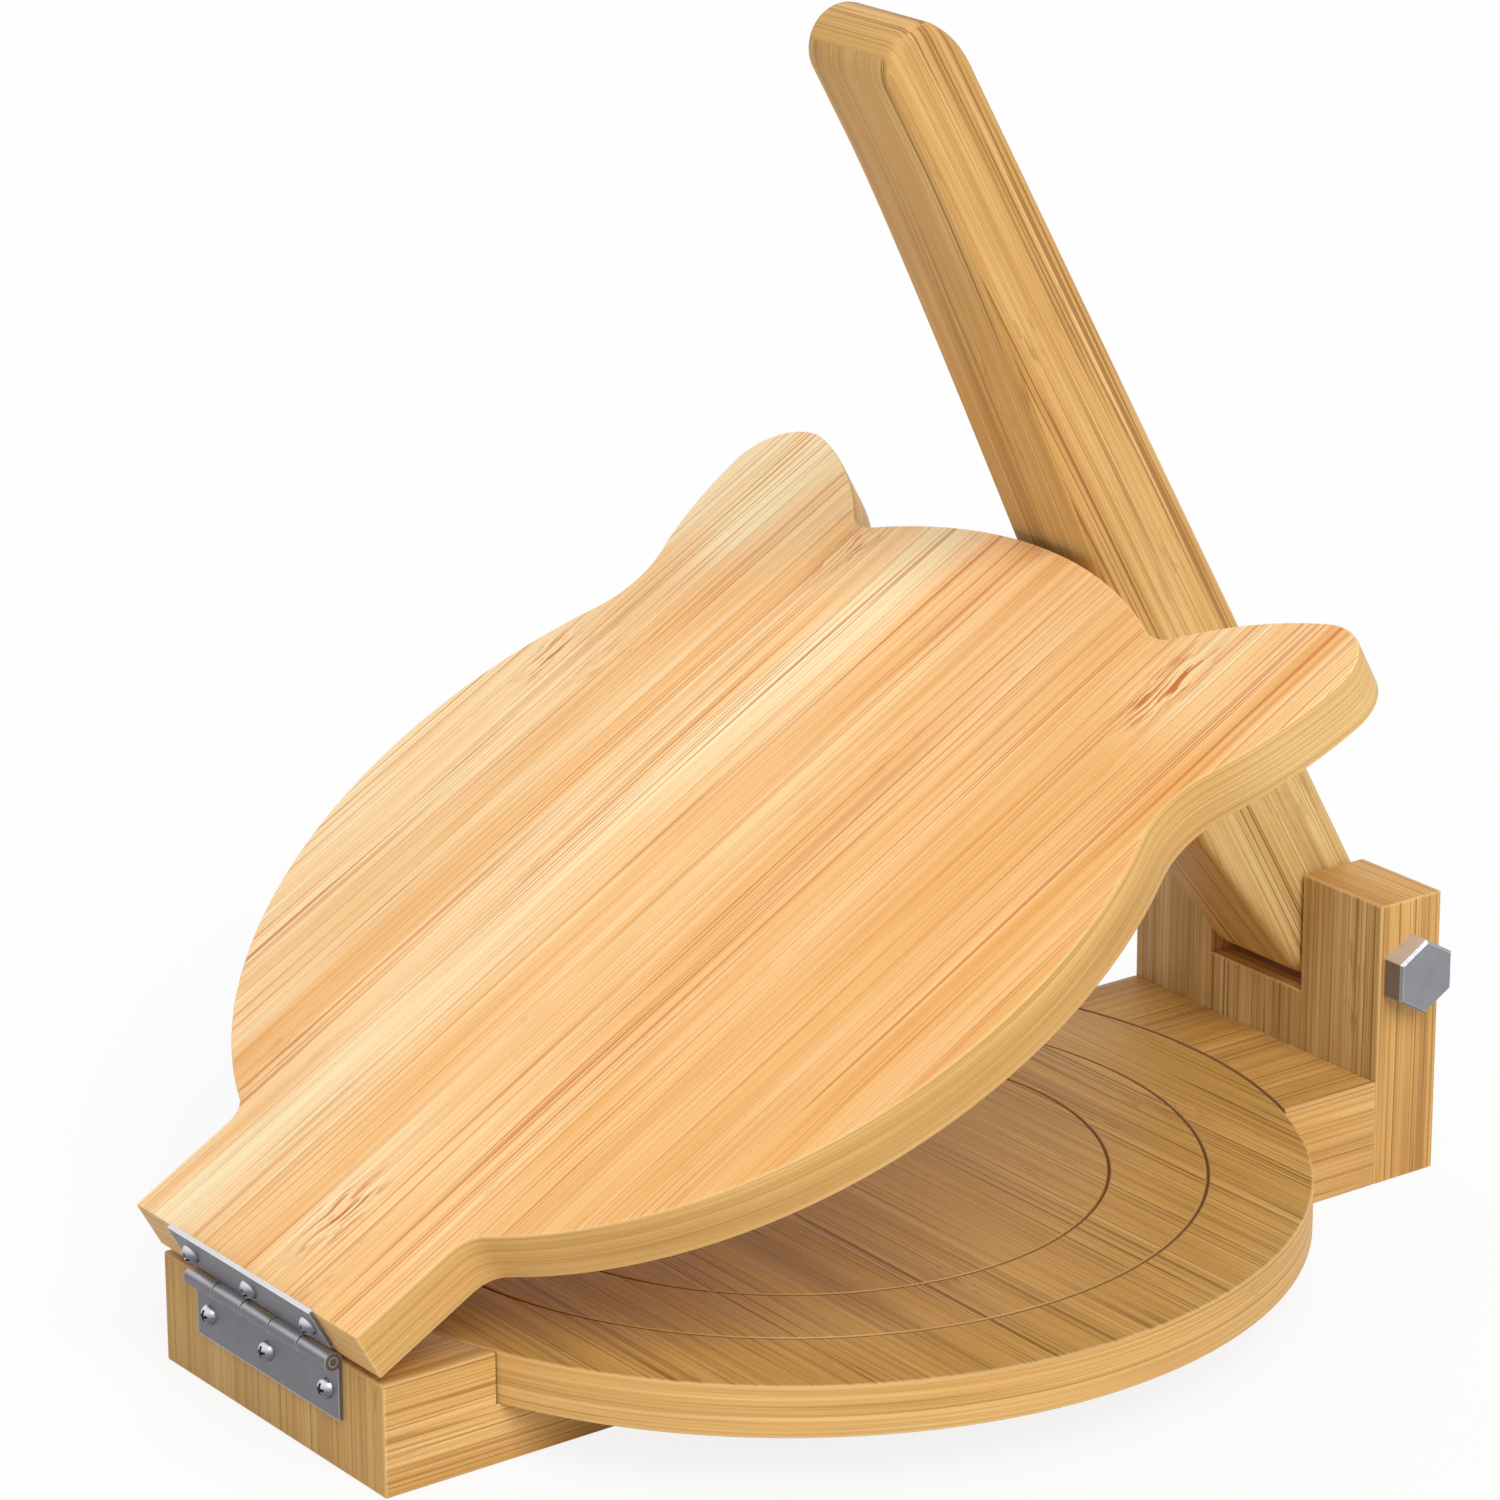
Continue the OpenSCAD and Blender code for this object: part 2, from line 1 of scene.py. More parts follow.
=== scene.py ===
# %% [markdown]
# # A wooden tortilla press
# The press is three moving bodies. The base is a long rail with a round disc let into it
# and a slotted post at one end. The press plate has two ears and swings on a steel butt
# hinge. The lever swings on a bolt in the post.
#
# Their true shapes come from a packed model, so nothing here is sized by eye. This lesson
# adds what a shape can't say by itself: soft edges, laminated bamboo, brushed steel, light
# and a camera. Blender works in metres, and MM turns a maker's millimetres into them.

# %% Load the packed model
import json
import math

import bmesh
import bpy
from mathutils import Matrix, Vector


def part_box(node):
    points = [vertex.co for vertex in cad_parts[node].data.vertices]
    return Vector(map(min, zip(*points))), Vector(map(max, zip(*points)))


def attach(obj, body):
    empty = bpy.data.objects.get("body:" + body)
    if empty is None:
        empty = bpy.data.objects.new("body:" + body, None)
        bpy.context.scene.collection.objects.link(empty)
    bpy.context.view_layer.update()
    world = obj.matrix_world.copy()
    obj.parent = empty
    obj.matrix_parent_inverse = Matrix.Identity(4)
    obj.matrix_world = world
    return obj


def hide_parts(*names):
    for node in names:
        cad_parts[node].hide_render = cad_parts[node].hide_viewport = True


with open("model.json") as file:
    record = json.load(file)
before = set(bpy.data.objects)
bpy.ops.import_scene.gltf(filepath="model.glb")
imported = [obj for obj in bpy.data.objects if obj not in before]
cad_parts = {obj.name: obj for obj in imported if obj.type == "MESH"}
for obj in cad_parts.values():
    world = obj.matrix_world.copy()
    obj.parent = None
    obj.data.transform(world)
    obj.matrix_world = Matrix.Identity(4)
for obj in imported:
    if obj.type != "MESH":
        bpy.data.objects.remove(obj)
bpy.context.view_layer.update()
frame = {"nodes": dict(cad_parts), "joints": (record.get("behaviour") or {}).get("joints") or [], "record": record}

MM = 0.001

# %% [markdown]
# ## Which way the camera looks
# A press like this shows best from above its hinge corner, where plate, disc and lever all
# come into view. A camera could be aimed with a Track To constraint, or with three Euler
# angles found by trial. A heading, a dip and a slight roll are easier to think in: we say
# where the lens points, and the camera's own axes follow from that.

# %% Camera axes
HEADING = -0.9284
DIP = 0.3333
ROLL = -0.0014


def camera_axes(heading, dip, roll):
    """The camera's right, up and forward directions, from angles in radians."""
    forward = Vector((
        math.sin(heading) * math.cos(dip),
        math.cos(heading) * math.cos(dip),
        -math.sin(dip),
    ))
    right = Vector((math.cos(heading), -math.sin(heading), 0))
    up = right.cross(forward)
    return (
        right * math.cos(roll) + up * math.sin(roll),
        up * math.cos(roll) - right * math.sin(roll),
        forward,
    )


right, up, forward = camera_axes(HEADING, DIP, ROLL)
print("looking along", [round(part, 3) for part in forward])

# %% [markdown]
# ## The lens
# From close by, a wide lens would bend the straight rail into a wedge. A long lens from far
# back keeps its sides nearly parallel. The focal length is counted in pixels and turned
# into millimetres on a 36 mm sensor. The lens looks a little past the middle of the image,
# and Blender calls that offset the shift. The matrix's columns are the camera's axes, and
# its last column the place: a Blender camera looks along its own minus Z.

# %% Camera
IMAGE_SIZE = 1500
FOCAL_PIXELS = 6062.2
LENS_CENTRE = (780.97, 751.20)
SENSOR = 36
CAMERA_PLACE = Vector((1088.13, -816.79, 605.25)) * MM

lens = bpy.data.cameras.new("long_lens")
lens.sensor_width = SENSOR
lens.lens = FOCAL_PIXELS / IMAGE_SIZE * SENSOR
lens.shift_x = 0.5 - LENS_CENTRE[0] / IMAGE_SIZE
lens.shift_y = LENS_CENTRE[1] / IMAGE_SIZE - 0.5
camera = bpy.data.objects.new("press_camera", lens)
bpy.context.scene.collection.objects.link(camera)
camera.matrix_world = Matrix((
    (right.x, up.x, -forward.x, CAMERA_PLACE.x),
    (right.y, up.y, -forward.y, CAMERA_PLACE.y),
    (right.z, up.z, -forward.z, CAMERA_PLACE.z),
    (0, 0, 0, 1),
))
bpy.context.scene.camera = camera
print("lens", round(lens.lens, 1), "mm, at", round(CAMERA_PLACE.length, 2), "m from the press")

# %% [markdown]
# ## Colours as a screen shows them
# A shader wants linear light, but a maker picks colours by eye, from 0 to 255. Linear
# values are hard to judge, because half of the light looks far brighter than half. So
# colours are written the way a screen shows them, and one helper turns them round.

# %% Colours
STRAIGHT_BELOW = 10


def linear(value):
    """One channel from 0 to 255 as linear light. A screen's curve starts with a straight bit."""
    if value > STRAIGHT_BELOW:
        return ((value / 255 + 0.055) / 1.055) ** 2.4
    return value / 255 / 12.92


def srgb(red, green, blue):
    """A colour in the linear light that a shader wants."""
    return (linear(red), linear(green), linear(blue), 1.0)


print("a middle grey on the screen is", round(linear(128), 3), "of full light")

# %% [markdown]
# ## A sheet to lay nodes on
# Every finish below is a graph of shader nodes. It could be wired by hand in the Shader
# Editor, but a graph of a hundred nodes is hard to read there. This small kit keeps the idea
# in plain sight: each call adds one node and hands back its output, and an argument may be
# a number or the output of another call. Nodes are set out in rows, so that the graph
# can still be opened and followed in the editor.

# %% Laying nodes
NODES_IN_A_ROW = 12
NODE_STEP = (190, -240)


class NodeSheet:
    """A node tree, and the calls that lay nodes on it."""

    def __init__(self, tree):
        self.tree = tree
        self.tree.nodes.clear()
        self.count = 0

    def add(self, kind, **settings):
        row, column = divmod(self.count, NODES_IN_A_ROW)
        node = self.tree.nodes.new(kind)
        node.location = (column * NODE_STEP[0], row * NODE_STEP[1])
        self.count += 1
        for key, value in settings.items():
            setattr(node, key, value)
        return node

    def plug(self, socket, value):
        if isinstance(value, bpy.types.NodeSocket):
            self.tree.links.new(value, socket)
        else:
            socket.default_value = value

    def fill(self, node, values):
        """Plugs values into a node's sockets, in their order."""
        for socket, value in zip(node.inputs, values):
            self.plug(socket, value)
        return node


print("a sheet can", [call for call in vars(NodeSheet) if not call.startswith("_")])

# %% [markdown]
# ## Sums on a sheet
# Most of a finish is arithmetic: how far a spot is from a line, and how strongly a mark
# shows there. Map Range with a smooth step is the handiest of them. It turns any number
# into a share from 0 to 1 with soft ends, and that share then mixes two colours. Run
# backwards, with to_low above to_high, it fades a mark out instead.

# %% Sums


class Sums(NodeSheet):
    """A sheet that can also do arithmetic."""

    def math(self, operation, *values):
        return self.fill(self.add("ShaderNodeMath", operation=operation), values).outputs[0]

    def spread(self, value, low, high, to_low=0.0, to_high=1.0, kind="SMOOTHSTEP"):
        """Turns the stretch from low to high into the one from to_low to to_high."""
        node = self.add("ShaderNodeMapRange", interpolation_type=kind)
        return self.fill(node, (value, low, high, to_low, to_high)).outputs[0]

    def shifted(self, start, by, where):
        """A value that changes by so much where a share is 1."""
        return self.math("MULTIPLY_ADD", where, by, start)

    def sharpen(self, value, swing):
        """Stretches the contrast of a noise, whose values keep within swing of a half."""
        return self.spread(value, 0.5 - swing, 0.5 + swing, 0.0, 1.0, "LINEAR")

    def most(self, values):
        """The largest of several values."""
        largest = values[0]
        for value in values[1:]:
            largest = self.math("MAXIMUM", largest, value)
        return largest

    def how_far(self, first, second):
        """The length of the diagonal whose two sides are given."""
        squares = [self.math("POWER", side, 2.0) for side in (first, second)]
        return self.math("SQRT", self.math("ADD", *squares))

    def vector(self, x, y, z):
        return self.fill(self.add("ShaderNodeCombineXYZ"), (x, y, z)).outputs[0]

    def parts(self, vector):
        return tuple(self.fill(self.add("ShaderNodeSeparateXYZ"), (vector,)).outputs)


print("sums are", [call for call in vars(Sums) if not call.startswith("_")])

# %% [markdown]
# ## Patterns and mixing
# Image textures could carry the grain of wood, but they blur when the camera comes close,
# and every piece would need unwrapping. Noise made from a surface's own coordinates is as
# sharp as we like from any distance. Noise gives soft clouds, and white noise an unrelated
# value for each whole number, which suits things that are counted, such as strips.

# %% Patterns


class Patterns(Sums):
    """A sheet that can also make patterns, and mix colours and vectors."""

    def noise(self, place, detail=2.0, roughness=0.5, scale=1.0):
        node = self.add("ShaderNodeTexNoise")
        settings = {"Vector": place, "Scale": scale, "Detail": detail, "Roughness": roughness}
        for key, value in settings.items():
            self.plug(node.inputs[key], value)
        return node.outputs["Fac"]

    def chance(self, number):
        """A random value from 0 to 1 for each whole number."""
        node = self.add("ShaderNodeTexWhiteNoise", noise_dimensions="1D")
        self.plug(node.inputs["W"], number)
        return node.outputs["Value"]

    def blend(self, share, first, second):
        """A colour: the first where share is 0, the second where it is 1."""
        node = self.add("ShaderNodeMix", data_type="RGBA")
        self.plug(node.inputs[0], share)
        self.plug(node.inputs[6], first)
        self.plug(node.inputs[7], second)
        return node.outputs[2]

    def pick(self, share, first, second):
        """A vector: the first where share is 0, the second where it is 1."""
        node = self.add("ShaderNodeMix", data_type="VECTOR")
        self.plug(node.inputs[0], share)
        self.plug(node.inputs[4], first)
        self.plug(node.inputs[5], second)
        return node.outputs[1]


print("patterns are", [call for call in vars(Patterns) if not call.startswith("_")])

# %% [markdown] ## The shader A finish is a sheet that belongs to one material. A plain number stays on the shader's own socket. Relief comes from a bump, which tilts the light without moving the surface: right for grain a tenth of a millimetre deep, and too weak for real shapes.

# %% Shader


class Finish(Patterns):
    """One material, and the sheet of nodes that makes it."""

    def __init__(self, name):
        self.material = bpy.data.materials.new(name)
        self.material.use_nodes = True
        super().__init__(self.material.node_tree)

    def bump(self, height, strength, distance):
        node = self.add("ShaderNodeBump")
        settings = {"Strength": strength, "Distance": distance, "Height": height}
        for key, value in settings.items():
            self.plug(node.inputs[key], value)
        return node.outputs[0]

    def show(self, shader):
        """Sends a shader to the material's output."""
        self.plug(self.add("ShaderNodeOutputMaterial").inputs[0], shader.outputs[0])

    def surface(self, **sockets):
        """The Principled shader, with the named sockets filled."""
        shader = self.add("ShaderNodeBsdfPrincipled")
        for key, value in sockets.items():
            self.plug(shader.inputs[key.replace("_", " ")], value)
        self.show(shader)


print("a finish adds", [call for call in vars(Finish) if not call.startswith("_")])

# %% [markdown]
# ## How a board lies
# Bamboo fibres run straight through a board, so a finish has to know which way each board
# lies. UV maps could say so, but they would have to be unwrapped with care on every face.
# Instead the object's own coordinates are turned into millimetres along the board's own
# axes, and the direction of the surface tells which face a spot is on.

# %% Board coordinates
AXIS_NUMBER = {"x": 0, "y": 1, "z": 2}
FACING_LIMITS = (0.70, 0.72)


def board_space(finish, origin, turn):
    """Millimetres from origin along a board's own axes, and the way its surface faces."""
    texture = finish.add("ShaderNodeTexCoord")
    place = finish.add("ShaderNodeMapping", vector_type="TEXTURE")
    finish.plug(place.inputs["Vector"], texture.outputs["Object"])
    finish.plug(place.inputs["Location"], origin)
    finish.plug(place.inputs["Rotation"], turn)
    finish.plug(place.inputs["Scale"], (MM, MM, MM))
    face = finish.add("ShaderNodeMapping", vector_type="TEXTURE")
    finish.plug(face.inputs["Vector"], texture.outputs["Normal"])
    finish.plug(face.inputs["Rotation"], turn)
    return finish.parts(place.outputs[0]), finish.parts(face.outputs[0])


def facing(finish, component):
    """1 where the surface faces along that axis, either way, else 0."""
    return finish.spread(finish.math("ABSOLUTE", component), *FACING_LIMITS)


print("a face belongs to an axis up to", round(math.degrees(math.acos(FACING_LIMITS[0]))), "degrees off it")

# %% [markdown]
# ## Blocks and routed boards
# On a squared block each face names its own order of axes: across the fibres, along them,
# and into the board. A board routed to a curve is different. Its faces show straight
# fibres, but its wall is one long strip, so there we measure round the outline with an
# arctangent. The wall's numbers are moved far along, so no mark meant for the top shows
# on it again.

# %% Blocks and routed boards
EDGE_LANE = 900.0


def lay_round_board(finish, origin, turn, centre_along, radius):
    """A routed board: fibres run along its faces, and on its wall lines follow the outline."""
    (across, along, depth), face = board_space(finish, origin, turn)
    on_top = facing(finish, face[2])
    angle = finish.math("ARCTAN2", finish.math("SUBTRACT", along, centre_along), across)
    round_the_edge = finish.math("MULTIPLY_ADD", angle, radius, EDGE_LANE)
    edge = finish.vector(depth, round_the_edge, EDGE_LANE)
    top = finish.vector(across, along, depth)
    return finish.pick(on_top, edge, top), on_top, (across, along, depth)


def lay_block(finish, side, end, top, origin=(0, 0, 0), turn=(0, 0, 0)):
    """A squared block. side, end and top name the axes across, along and into those faces."""
    place, face = board_space(finish, origin, turn)
    on_side, on_end, on_top = [
        finish.vector(*(place[AXIS_NUMBER[axis]] for axis in order)) for order in (side, end, top)
    ]
    end_share = facing(finish, face[1])
    upright = finish.pick(end_share, on_side, on_end)
    return finish.pick(facing(finish, face[2]), upright, on_top), end_share, place


print("a wall's numbers start", EDGE_LANE, "mm along")

# %% [markdown]
# ## The colours of bamboo
# Bamboo boards are steamed until they turn from straw to caramel, and no two faces take the light alike. Each set
# below runs from the darkest fibre to the palest, with the colour of its fine dark lines beside it. The sanded top
# of the plate is honey, most other faces golden, the pressing disc umber, and olive is painted on faces in shade,
# as the tint of their shade, and on the lever's foot.

# %% Bamboo colours
HONEY = (srgb(232, 166, 92), srgb(244, 191, 124), srgb(251, 208, 151), srgb(255, 232, 184))
HONEY_LINE = srgb(198, 112, 38)
GOLD = (srgb(160, 112, 55), srgb(200, 152, 84), srgb(220, 174, 105), srgb(240, 206, 143))
GOLD_LINE = srgb(150, 98, 44)
OLIVE = (srgb(140, 106, 58), srgb(180, 148, 92), srgb(200, 172, 114), srgb(222, 200, 150))
OLIVE_LINE = srgb(130, 92, 50)
UMBER = (srgb(140, 100, 46), srgb(178, 137, 68), srgb(196, 155, 84), srgb(218, 182, 114))
UMBER_LINE = srgb(108, 72, 32)
RAMP_START = 0.1
RAMP_LENGTH = 0.8


def tones(finish, value, colours):
    """A colour from the darkest at 0 to the palest at 1."""
    ramp = finish.add("ShaderNodeValToRGB")
    finish.plug(ramp.inputs[0], value)
    while len(ramp.color_ramp.elements) < len(colours):
        ramp.color_ramp.elements.new(0.5)
    for number, (element, colour) in enumerate(zip(ramp.color_ramp.elements, colours)):
        element.position = RAMP_START + RAMP_LENGTH * number / (len(colours) - 1)
        element.color = colour
    return ramp.outputs[0]


print("bamboo comes in", len((HONEY, GOLD, OLIVE, UMBER)), "sets of", len(GOLD), "tones")

# %% [markdown]
# ## Fibres are stretched noise
# Bands, streaks, fibres and hairlines all run along the cane, and differ only in size. A
# Wave texture gives stripes, but they are as even as a printed pattern. Noise that is
# stretched along the board breaks up the way fibres do: the place is divided by a width
# across and a much greater length along. A third number, the lane, picks a fresh pattern.

# %% Stretched noise


def stretched(finish, place, fibre, length, lane, detail=2.0):
    """Noise with one blotch every fibre mm across the board and every length mm along it."""
    across = finish.math("DIVIDE", place[0], fibre)
    along = finish.math("DIVIDE", place[1], length)
    return finish.noise(finish.vector(across, along, lane), detail)


print("every mark on the wood is noise, from 0 to 1, cut off or spread")

# %% [markdown]
# ## Cane joints
# A bamboo cane has a woody joint every hand's width. Where a strip was sawn through one,
# its fibres bend and darken in a lens-shaped patch. A patch is a soft oval round a chosen
# middle. Inside it the coordinates are pushed sideways by a coarse noise, so every fibre
# drawn later bends along with them. Painting bent lines one by one would never match.

# %% Cane joints
JOINT_CORE = 0.25
EDDY = (10, 22)
EDDY_PUSH = 7.0


def cane_joint(finish, place, middle, half_width, half_length):
    """1 in the middle of a cane joint, falling to 0 at its rim."""
    sideways = finish.math("DIVIDE", finish.math("SUBTRACT", place[0], middle[0]), half_width)
    lengthwise = finish.math("DIVIDE", finish.math("SUBTRACT", place[1], middle[1]), half_length)
    return finish.spread(finish.how_far(sideways, lengthwise), JOINT_CORE, 1.0, 1.0, 0.0)


def swirl(finish, place, joint, seed):
    """Pushes the fibres sideways near a cane joint."""
    eddy = finish.math("SUBTRACT", stretched(finish, place, *EDDY, seed, 1.0), 0.5)
    push = finish.math("MULTIPLY", eddy, finish.math("MULTIPLY", joint, EDDY_PUSH))
    return finish.math("ADD", place[0], push), place[1]


print("a joint can push fibres by up to", EDDY_PUSH / 2, "mm")

# %% [markdown]
# ## Strips side by side
# A bamboo board is glued up from strips about two centimetres wide, each from another cane.
# Rounding down the distance across the board numbers the strips, and the number gives each
# one its own tone and its own lane of noise. So a fibre stops at a glue line and never
# runs across it. The strips wander a little, because no cane is quite straight.

# %% Strips
WANDER = (30, 110)
WANDER_REACH = 1.5
LANE_STEP = 7.3
LANE_PER_MM = 0.03


class Strips:
    """Where a spot lies among a board's strips, and grain that differs from strip to strip."""

    def __init__(self, finish, spot, width, shift, seed, joints):
        self.finish = finish
        across, along, depth = finish.parts(spot)
        wander = stretched(finish, (across, along), *WANDER, seed, 1.0)
        self.place = (finish.math("MULTIPLY_ADD", wander, WANDER_REACH, across), along)
        self.joint = None
        if joints:
            patches = [cane_joint(finish, self.place, *patch) for patch in joints]
            self.joint = finish.most(patches)
            self.place = swirl(finish, self.place, self.joint, seed)
        self.counted = finish.math("DIVIDE", finish.math("ADD", self.place[0], shift), width)
        number = finish.math("FLOOR", self.counted)
        deeper = finish.math("MULTIPLY_ADD", depth, LANE_PER_MM, seed)
        self.lane = finish.math("MULTIPLY_ADD", number, LANE_STEP, deeper)
        self.own_tone = finish.chance(finish.math("ADD", number, seed))
        self.solid_place = finish.vector(across, along, depth)
        self.across = across

    def grain(self, fibre, length, offset, detail=2.0):
        lane = self.finish.math("ADD", self.lane, offset)
        return stretched(self.finish, self.place, fibre, length, lane, detail)


print("strips wander by up to", WANDER_REACH, "mm")

# %% [markdown]
# ## Light and dark from band to fibre
# The tone of a spot is a sum of swings about the board's middle tone: the strip's own
# shade, broad and soft bands, streaks, single fibres and the speckle of cut pores. The
# numbers of each grain are its width and length in millimetres, its lane, and, for the
# broad ones, a low detail that keeps them soft. Adding swings is better than multiplying
# them: one layer can be made stronger without making the whole board darker.

# %% Tone
BROAD_BANDS = (14, 90, 50.0, 1.0)
SOFT_BANDS = (4.5, 240, 70.0)
STREAKS = (1.1, 190, 0.0)
FIBRES = (0.5, 90, 20.0)
PORES_PER_MM = 2.2
PORE_ROUGHNESS = 0.7
STREAK_REACH, FIBRE_REACH, PORE_REACH = 0.18, 0.12, 0.20
OWN_SWING, BROAD_SWING, SOFT_SWING = 0.20, 0.55, 0.60
STREAK_SWING, FIBRE_SWING, PORE_SWING = 0.20, 0.17, 0.08
JOINT_TONE = 0.06


def layered(finish, start, layers):
    """Adds each layer's swing about its own middle, times its weight, to a starting value."""
    for layer, weight in layers:
        start = finish.shifted(start, weight, finish.math("SUBTRACT", layer, 0.5))
    return start


def strip_tone(finish, strips, base, slant, figure):
    """The tone of a spot, and the streaks and fibres that also shape its relief."""
    streaks = finish.sharpen(strips.grain(*STREAKS), STREAK_REACH)
    fibres = finish.sharpen(strips.grain(*FIBRES), FIBRE_REACH)
    pores = finish.noise(strips.solid_place, roughness=PORE_ROUGHNESS, scale=PORES_PER_MM)
    swings = (
        (strips.own_tone, OWN_SWING * figure),
        (strips.grain(*BROAD_BANDS), BROAD_SWING * figure),
        (strips.grain(*SOFT_BANDS), SOFT_SWING * figure),
        (streaks, STREAK_SWING),
        (fibres, FIBRE_SWING),
        (finish.sharpen(pores, PORE_REACH), PORE_SWING),
    )
    tone = layered(finish, finish.shifted(base, slant, strips.across), swings)
    if strips.joint is not None:
        tone = finish.shifted(tone, JOINT_TONE, strips.joint)
    return tone, streaks, fibres


print("a fibre is", FIBRES[0], "mm wide, a broad band", BROAD_BANDS[0], "mm")

# %% [markdown]
# ## Dark lines
# Over the soft tones lie crisp marks: reddish hairlines that come in crowds, finer threads,
# short strokes where a brush of resin was cut, flecks in the cane joints, and the glue
# line between two strips. Each is a grain cut off high up, so that only its peaks show.
# Taking the strongest mark at each spot, instead of their sum, keeps crossings from
# turning black. Each table line gives a grain, then the noise value where its mark begins
# and the one where it is full.

# %% Dark lines
HAIRS = ((0.75, 170, 40.0), 0.57, 0.61)
HAIR_CROWDS = ((9, 200, 90.0, 1.0), 0.40, 0.58)
THREADS = ((0.42, 120, 30.0), 0.58, 0.64)
STROKES = ((0.9, 9, 15.0), 0.54, 0.62)
STROKE_PATCHES = ((16, 55, 60.0, 1.0), 0.60, 0.74)
FLECKS = ((0.8, 13, 17.0), 0.53, 0.57)
HAIR_WEIGHT, THREAD_WEIGHT, STROKE_WEIGHT, FLECK_WEIGHT = 0.78, 0.38, 0.45, 0.95
GLUE_SHARE = 0.030


def peaks(finish, strips, grain, begin, full, least=0.0):
    """The peaks of a grain as a share from least to 1."""
    return finish.spread(strips.grain(*grain), begin, full, least, 1.0)


def dark_lines(finish, strips, crowding, seam, lines):
    """How strongly a dark mark covers a spot, from 0 to 1."""
    crowds = peaks(finish, strips, *HAIR_CROWDS, crowding)
    hairs = finish.math("MULTIPLY", peaks(finish, strips, *HAIRS), crowds)
    patches = peaks(finish, strips, *STROKE_PATCHES)
    strokes = finish.math("MULTIPLY", peaks(finish, strips, *STROKES), patches)
    threads = peaks(finish, strips, *THREADS)
    weights = [(hairs, HAIR_WEIGHT), (threads, THREAD_WEIGHT), (strokes, STROKE_WEIGHT)]
    if strips.joint is not None:
        flecks = finish.math("MULTIPLY", peaks(finish, strips, *FLECKS), strips.joint)
        weights.append((flecks, FLECK_WEIGHT))
    past_seam = finish.math("FRACT", strips.counted)
    marks = [finish.spread(past_seam, 0.0, GLUE_SHARE, seam, 0.0)]
    marks += [finish.math("MULTIPLY", mark, weight) for mark, weight in weights]
    return finish.math("MULTIPLY", finish.most(marks), lines)


print("a glue line fades over", GLUE_SHARE, "of a strip's width")

# %% [markdown]
# ## One recipe for every board
# Now the layers come together. The tone picks a colour from a ramp, dark lines go over it, and rounded edges get a
# pale painted highlight. Streaks also set the gloss, since dense fibres polish better, and the same marks give a
# relief of a tenth of a millimetre. One recipe with a few handles beats a material per board: a change to it
# reaches them all, and boards of one press should look cut from one stack.

# %% Bamboo
ARRIS_HIGHLIGHT_COLOUR = srgb(255, 226, 170)
ARRIS_HIGHLIGHT_SHARE = 0.20
RELIEF = 0.12 * MM
RELIEF_STRENGTH = 0.20
FIBRE_HEIGHT, STREAK_HEIGHT = 0.5, 0.4
GLOSS = (0.3, 0.7, 0.46, 0.58)


def bamboo(finish, spot, strip=21.0, shift=0.0, seed=0.0, base=0.5, slant=0.0, joints=(),
           others=None, crowding=0.0, figure=1.0, seam=0.35, lines=1.0, extra=None):
    """Fills in a finish: the colour, gloss and relief of laminated bamboo.

    strip and shift are the strips' width and offset in mm, and seed picks the pattern.
    base is the middle tone, and slant makes it change across the board. others gives a
    mask of faces and the colours and line colour that they take instead. crowding is
    the least share of fine dark lines, figure the strength of the broad bands, seam that
    of the glue lines, lines that of all dark lines, and extra a mask and a colour on top.
    """
    strips = Strips(finish, spot, strip, shift, seed, joints)
    tone, streaks, fibres = strip_tone(finish, strips, base, slant, figure)
    colour = tones(finish, tone, GOLD)
    line_colour = GOLD_LINE
    if others is not None:
        mask, colours, line = others
        colour = finish.blend(mask, colour, tones(finish, tone, colours))
        line_colour = finish.blend(mask, GOLD_LINE, line)
    dark = dark_lines(finish, strips, crowding, seam, lines)
    colour = finish.blend(dark, colour, line_colour)
    # Rounded edges get a painted highlight: the arris faces are mixed towards a pale colour.
    arris = finish.add("ShaderNodeAttribute", attribute_name="arris").outputs["Fac"]
    colour = finish.blend(finish.math("MULTIPLY", arris, ARRIS_HIGHLIGHT_SHARE), colour, ARRIS_HIGHLIGHT_COLOUR)
    if extra is not None:
        colour = finish.blend(extra[0], colour, extra[1])
    height = layered(finish, 0.5, ((fibres, FIBRE_HEIGHT), (streaks, STREAK_HEIGHT)))
    normal = finish.bump(finish.math("SUBTRACT", height, dark), RELIEF_STRENGTH, RELIEF)
    gloss = finish.spread(streaks, *GLOSS, "LINEAR")
    finish.surface(Base_Color=colour, Roughness=gloss, Normal=normal, Specular_IOR_Level=0.25)
    print(finish.material.name, "is made of", finish.count, "nodes")


# %% [markdown]
# ## Which edges to soften
# A router bit and sandpaper take the sharpness off a wooden edge, and that thin rounded
# arris catches the light. Blender's Bevel modifier could do it by angle, but it would
# also round inner corners, where two boards meet and sandpaper never reaches. So we
# choose edges ourselves: those that stick out, and aren't just a facet of a curve.

# %% Outer edges
SHARP = math.radians(40)
DISC_LOW, DISC_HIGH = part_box("base_disc")
DISC_RADIUS = (DISC_HIGH.x - DISC_LOW.x) / 2


def outer_edges(shape, shortest, chosen):
    """Edges that stick out sharply, aren't tiny, and pass the test."""
    return [
        edge
        for edge in shape.edges
        if edge.is_manifold
        and edge.calc_face_angle_signed(0) > SHARP
        and edge.calc_length() > shortest
        and chosen(edge)
    ]


def on_rim(edge):
    """True for the disc's outer edges, and not for its two pressed rings."""
    middle = (edge.verts[0].co + edge.verts[1].co) / 2
    return middle.xy.length > DISC_RADIUS - 1 * MM


print("the disc is", round(DISC_RADIUS / MM * 2), "mm across")
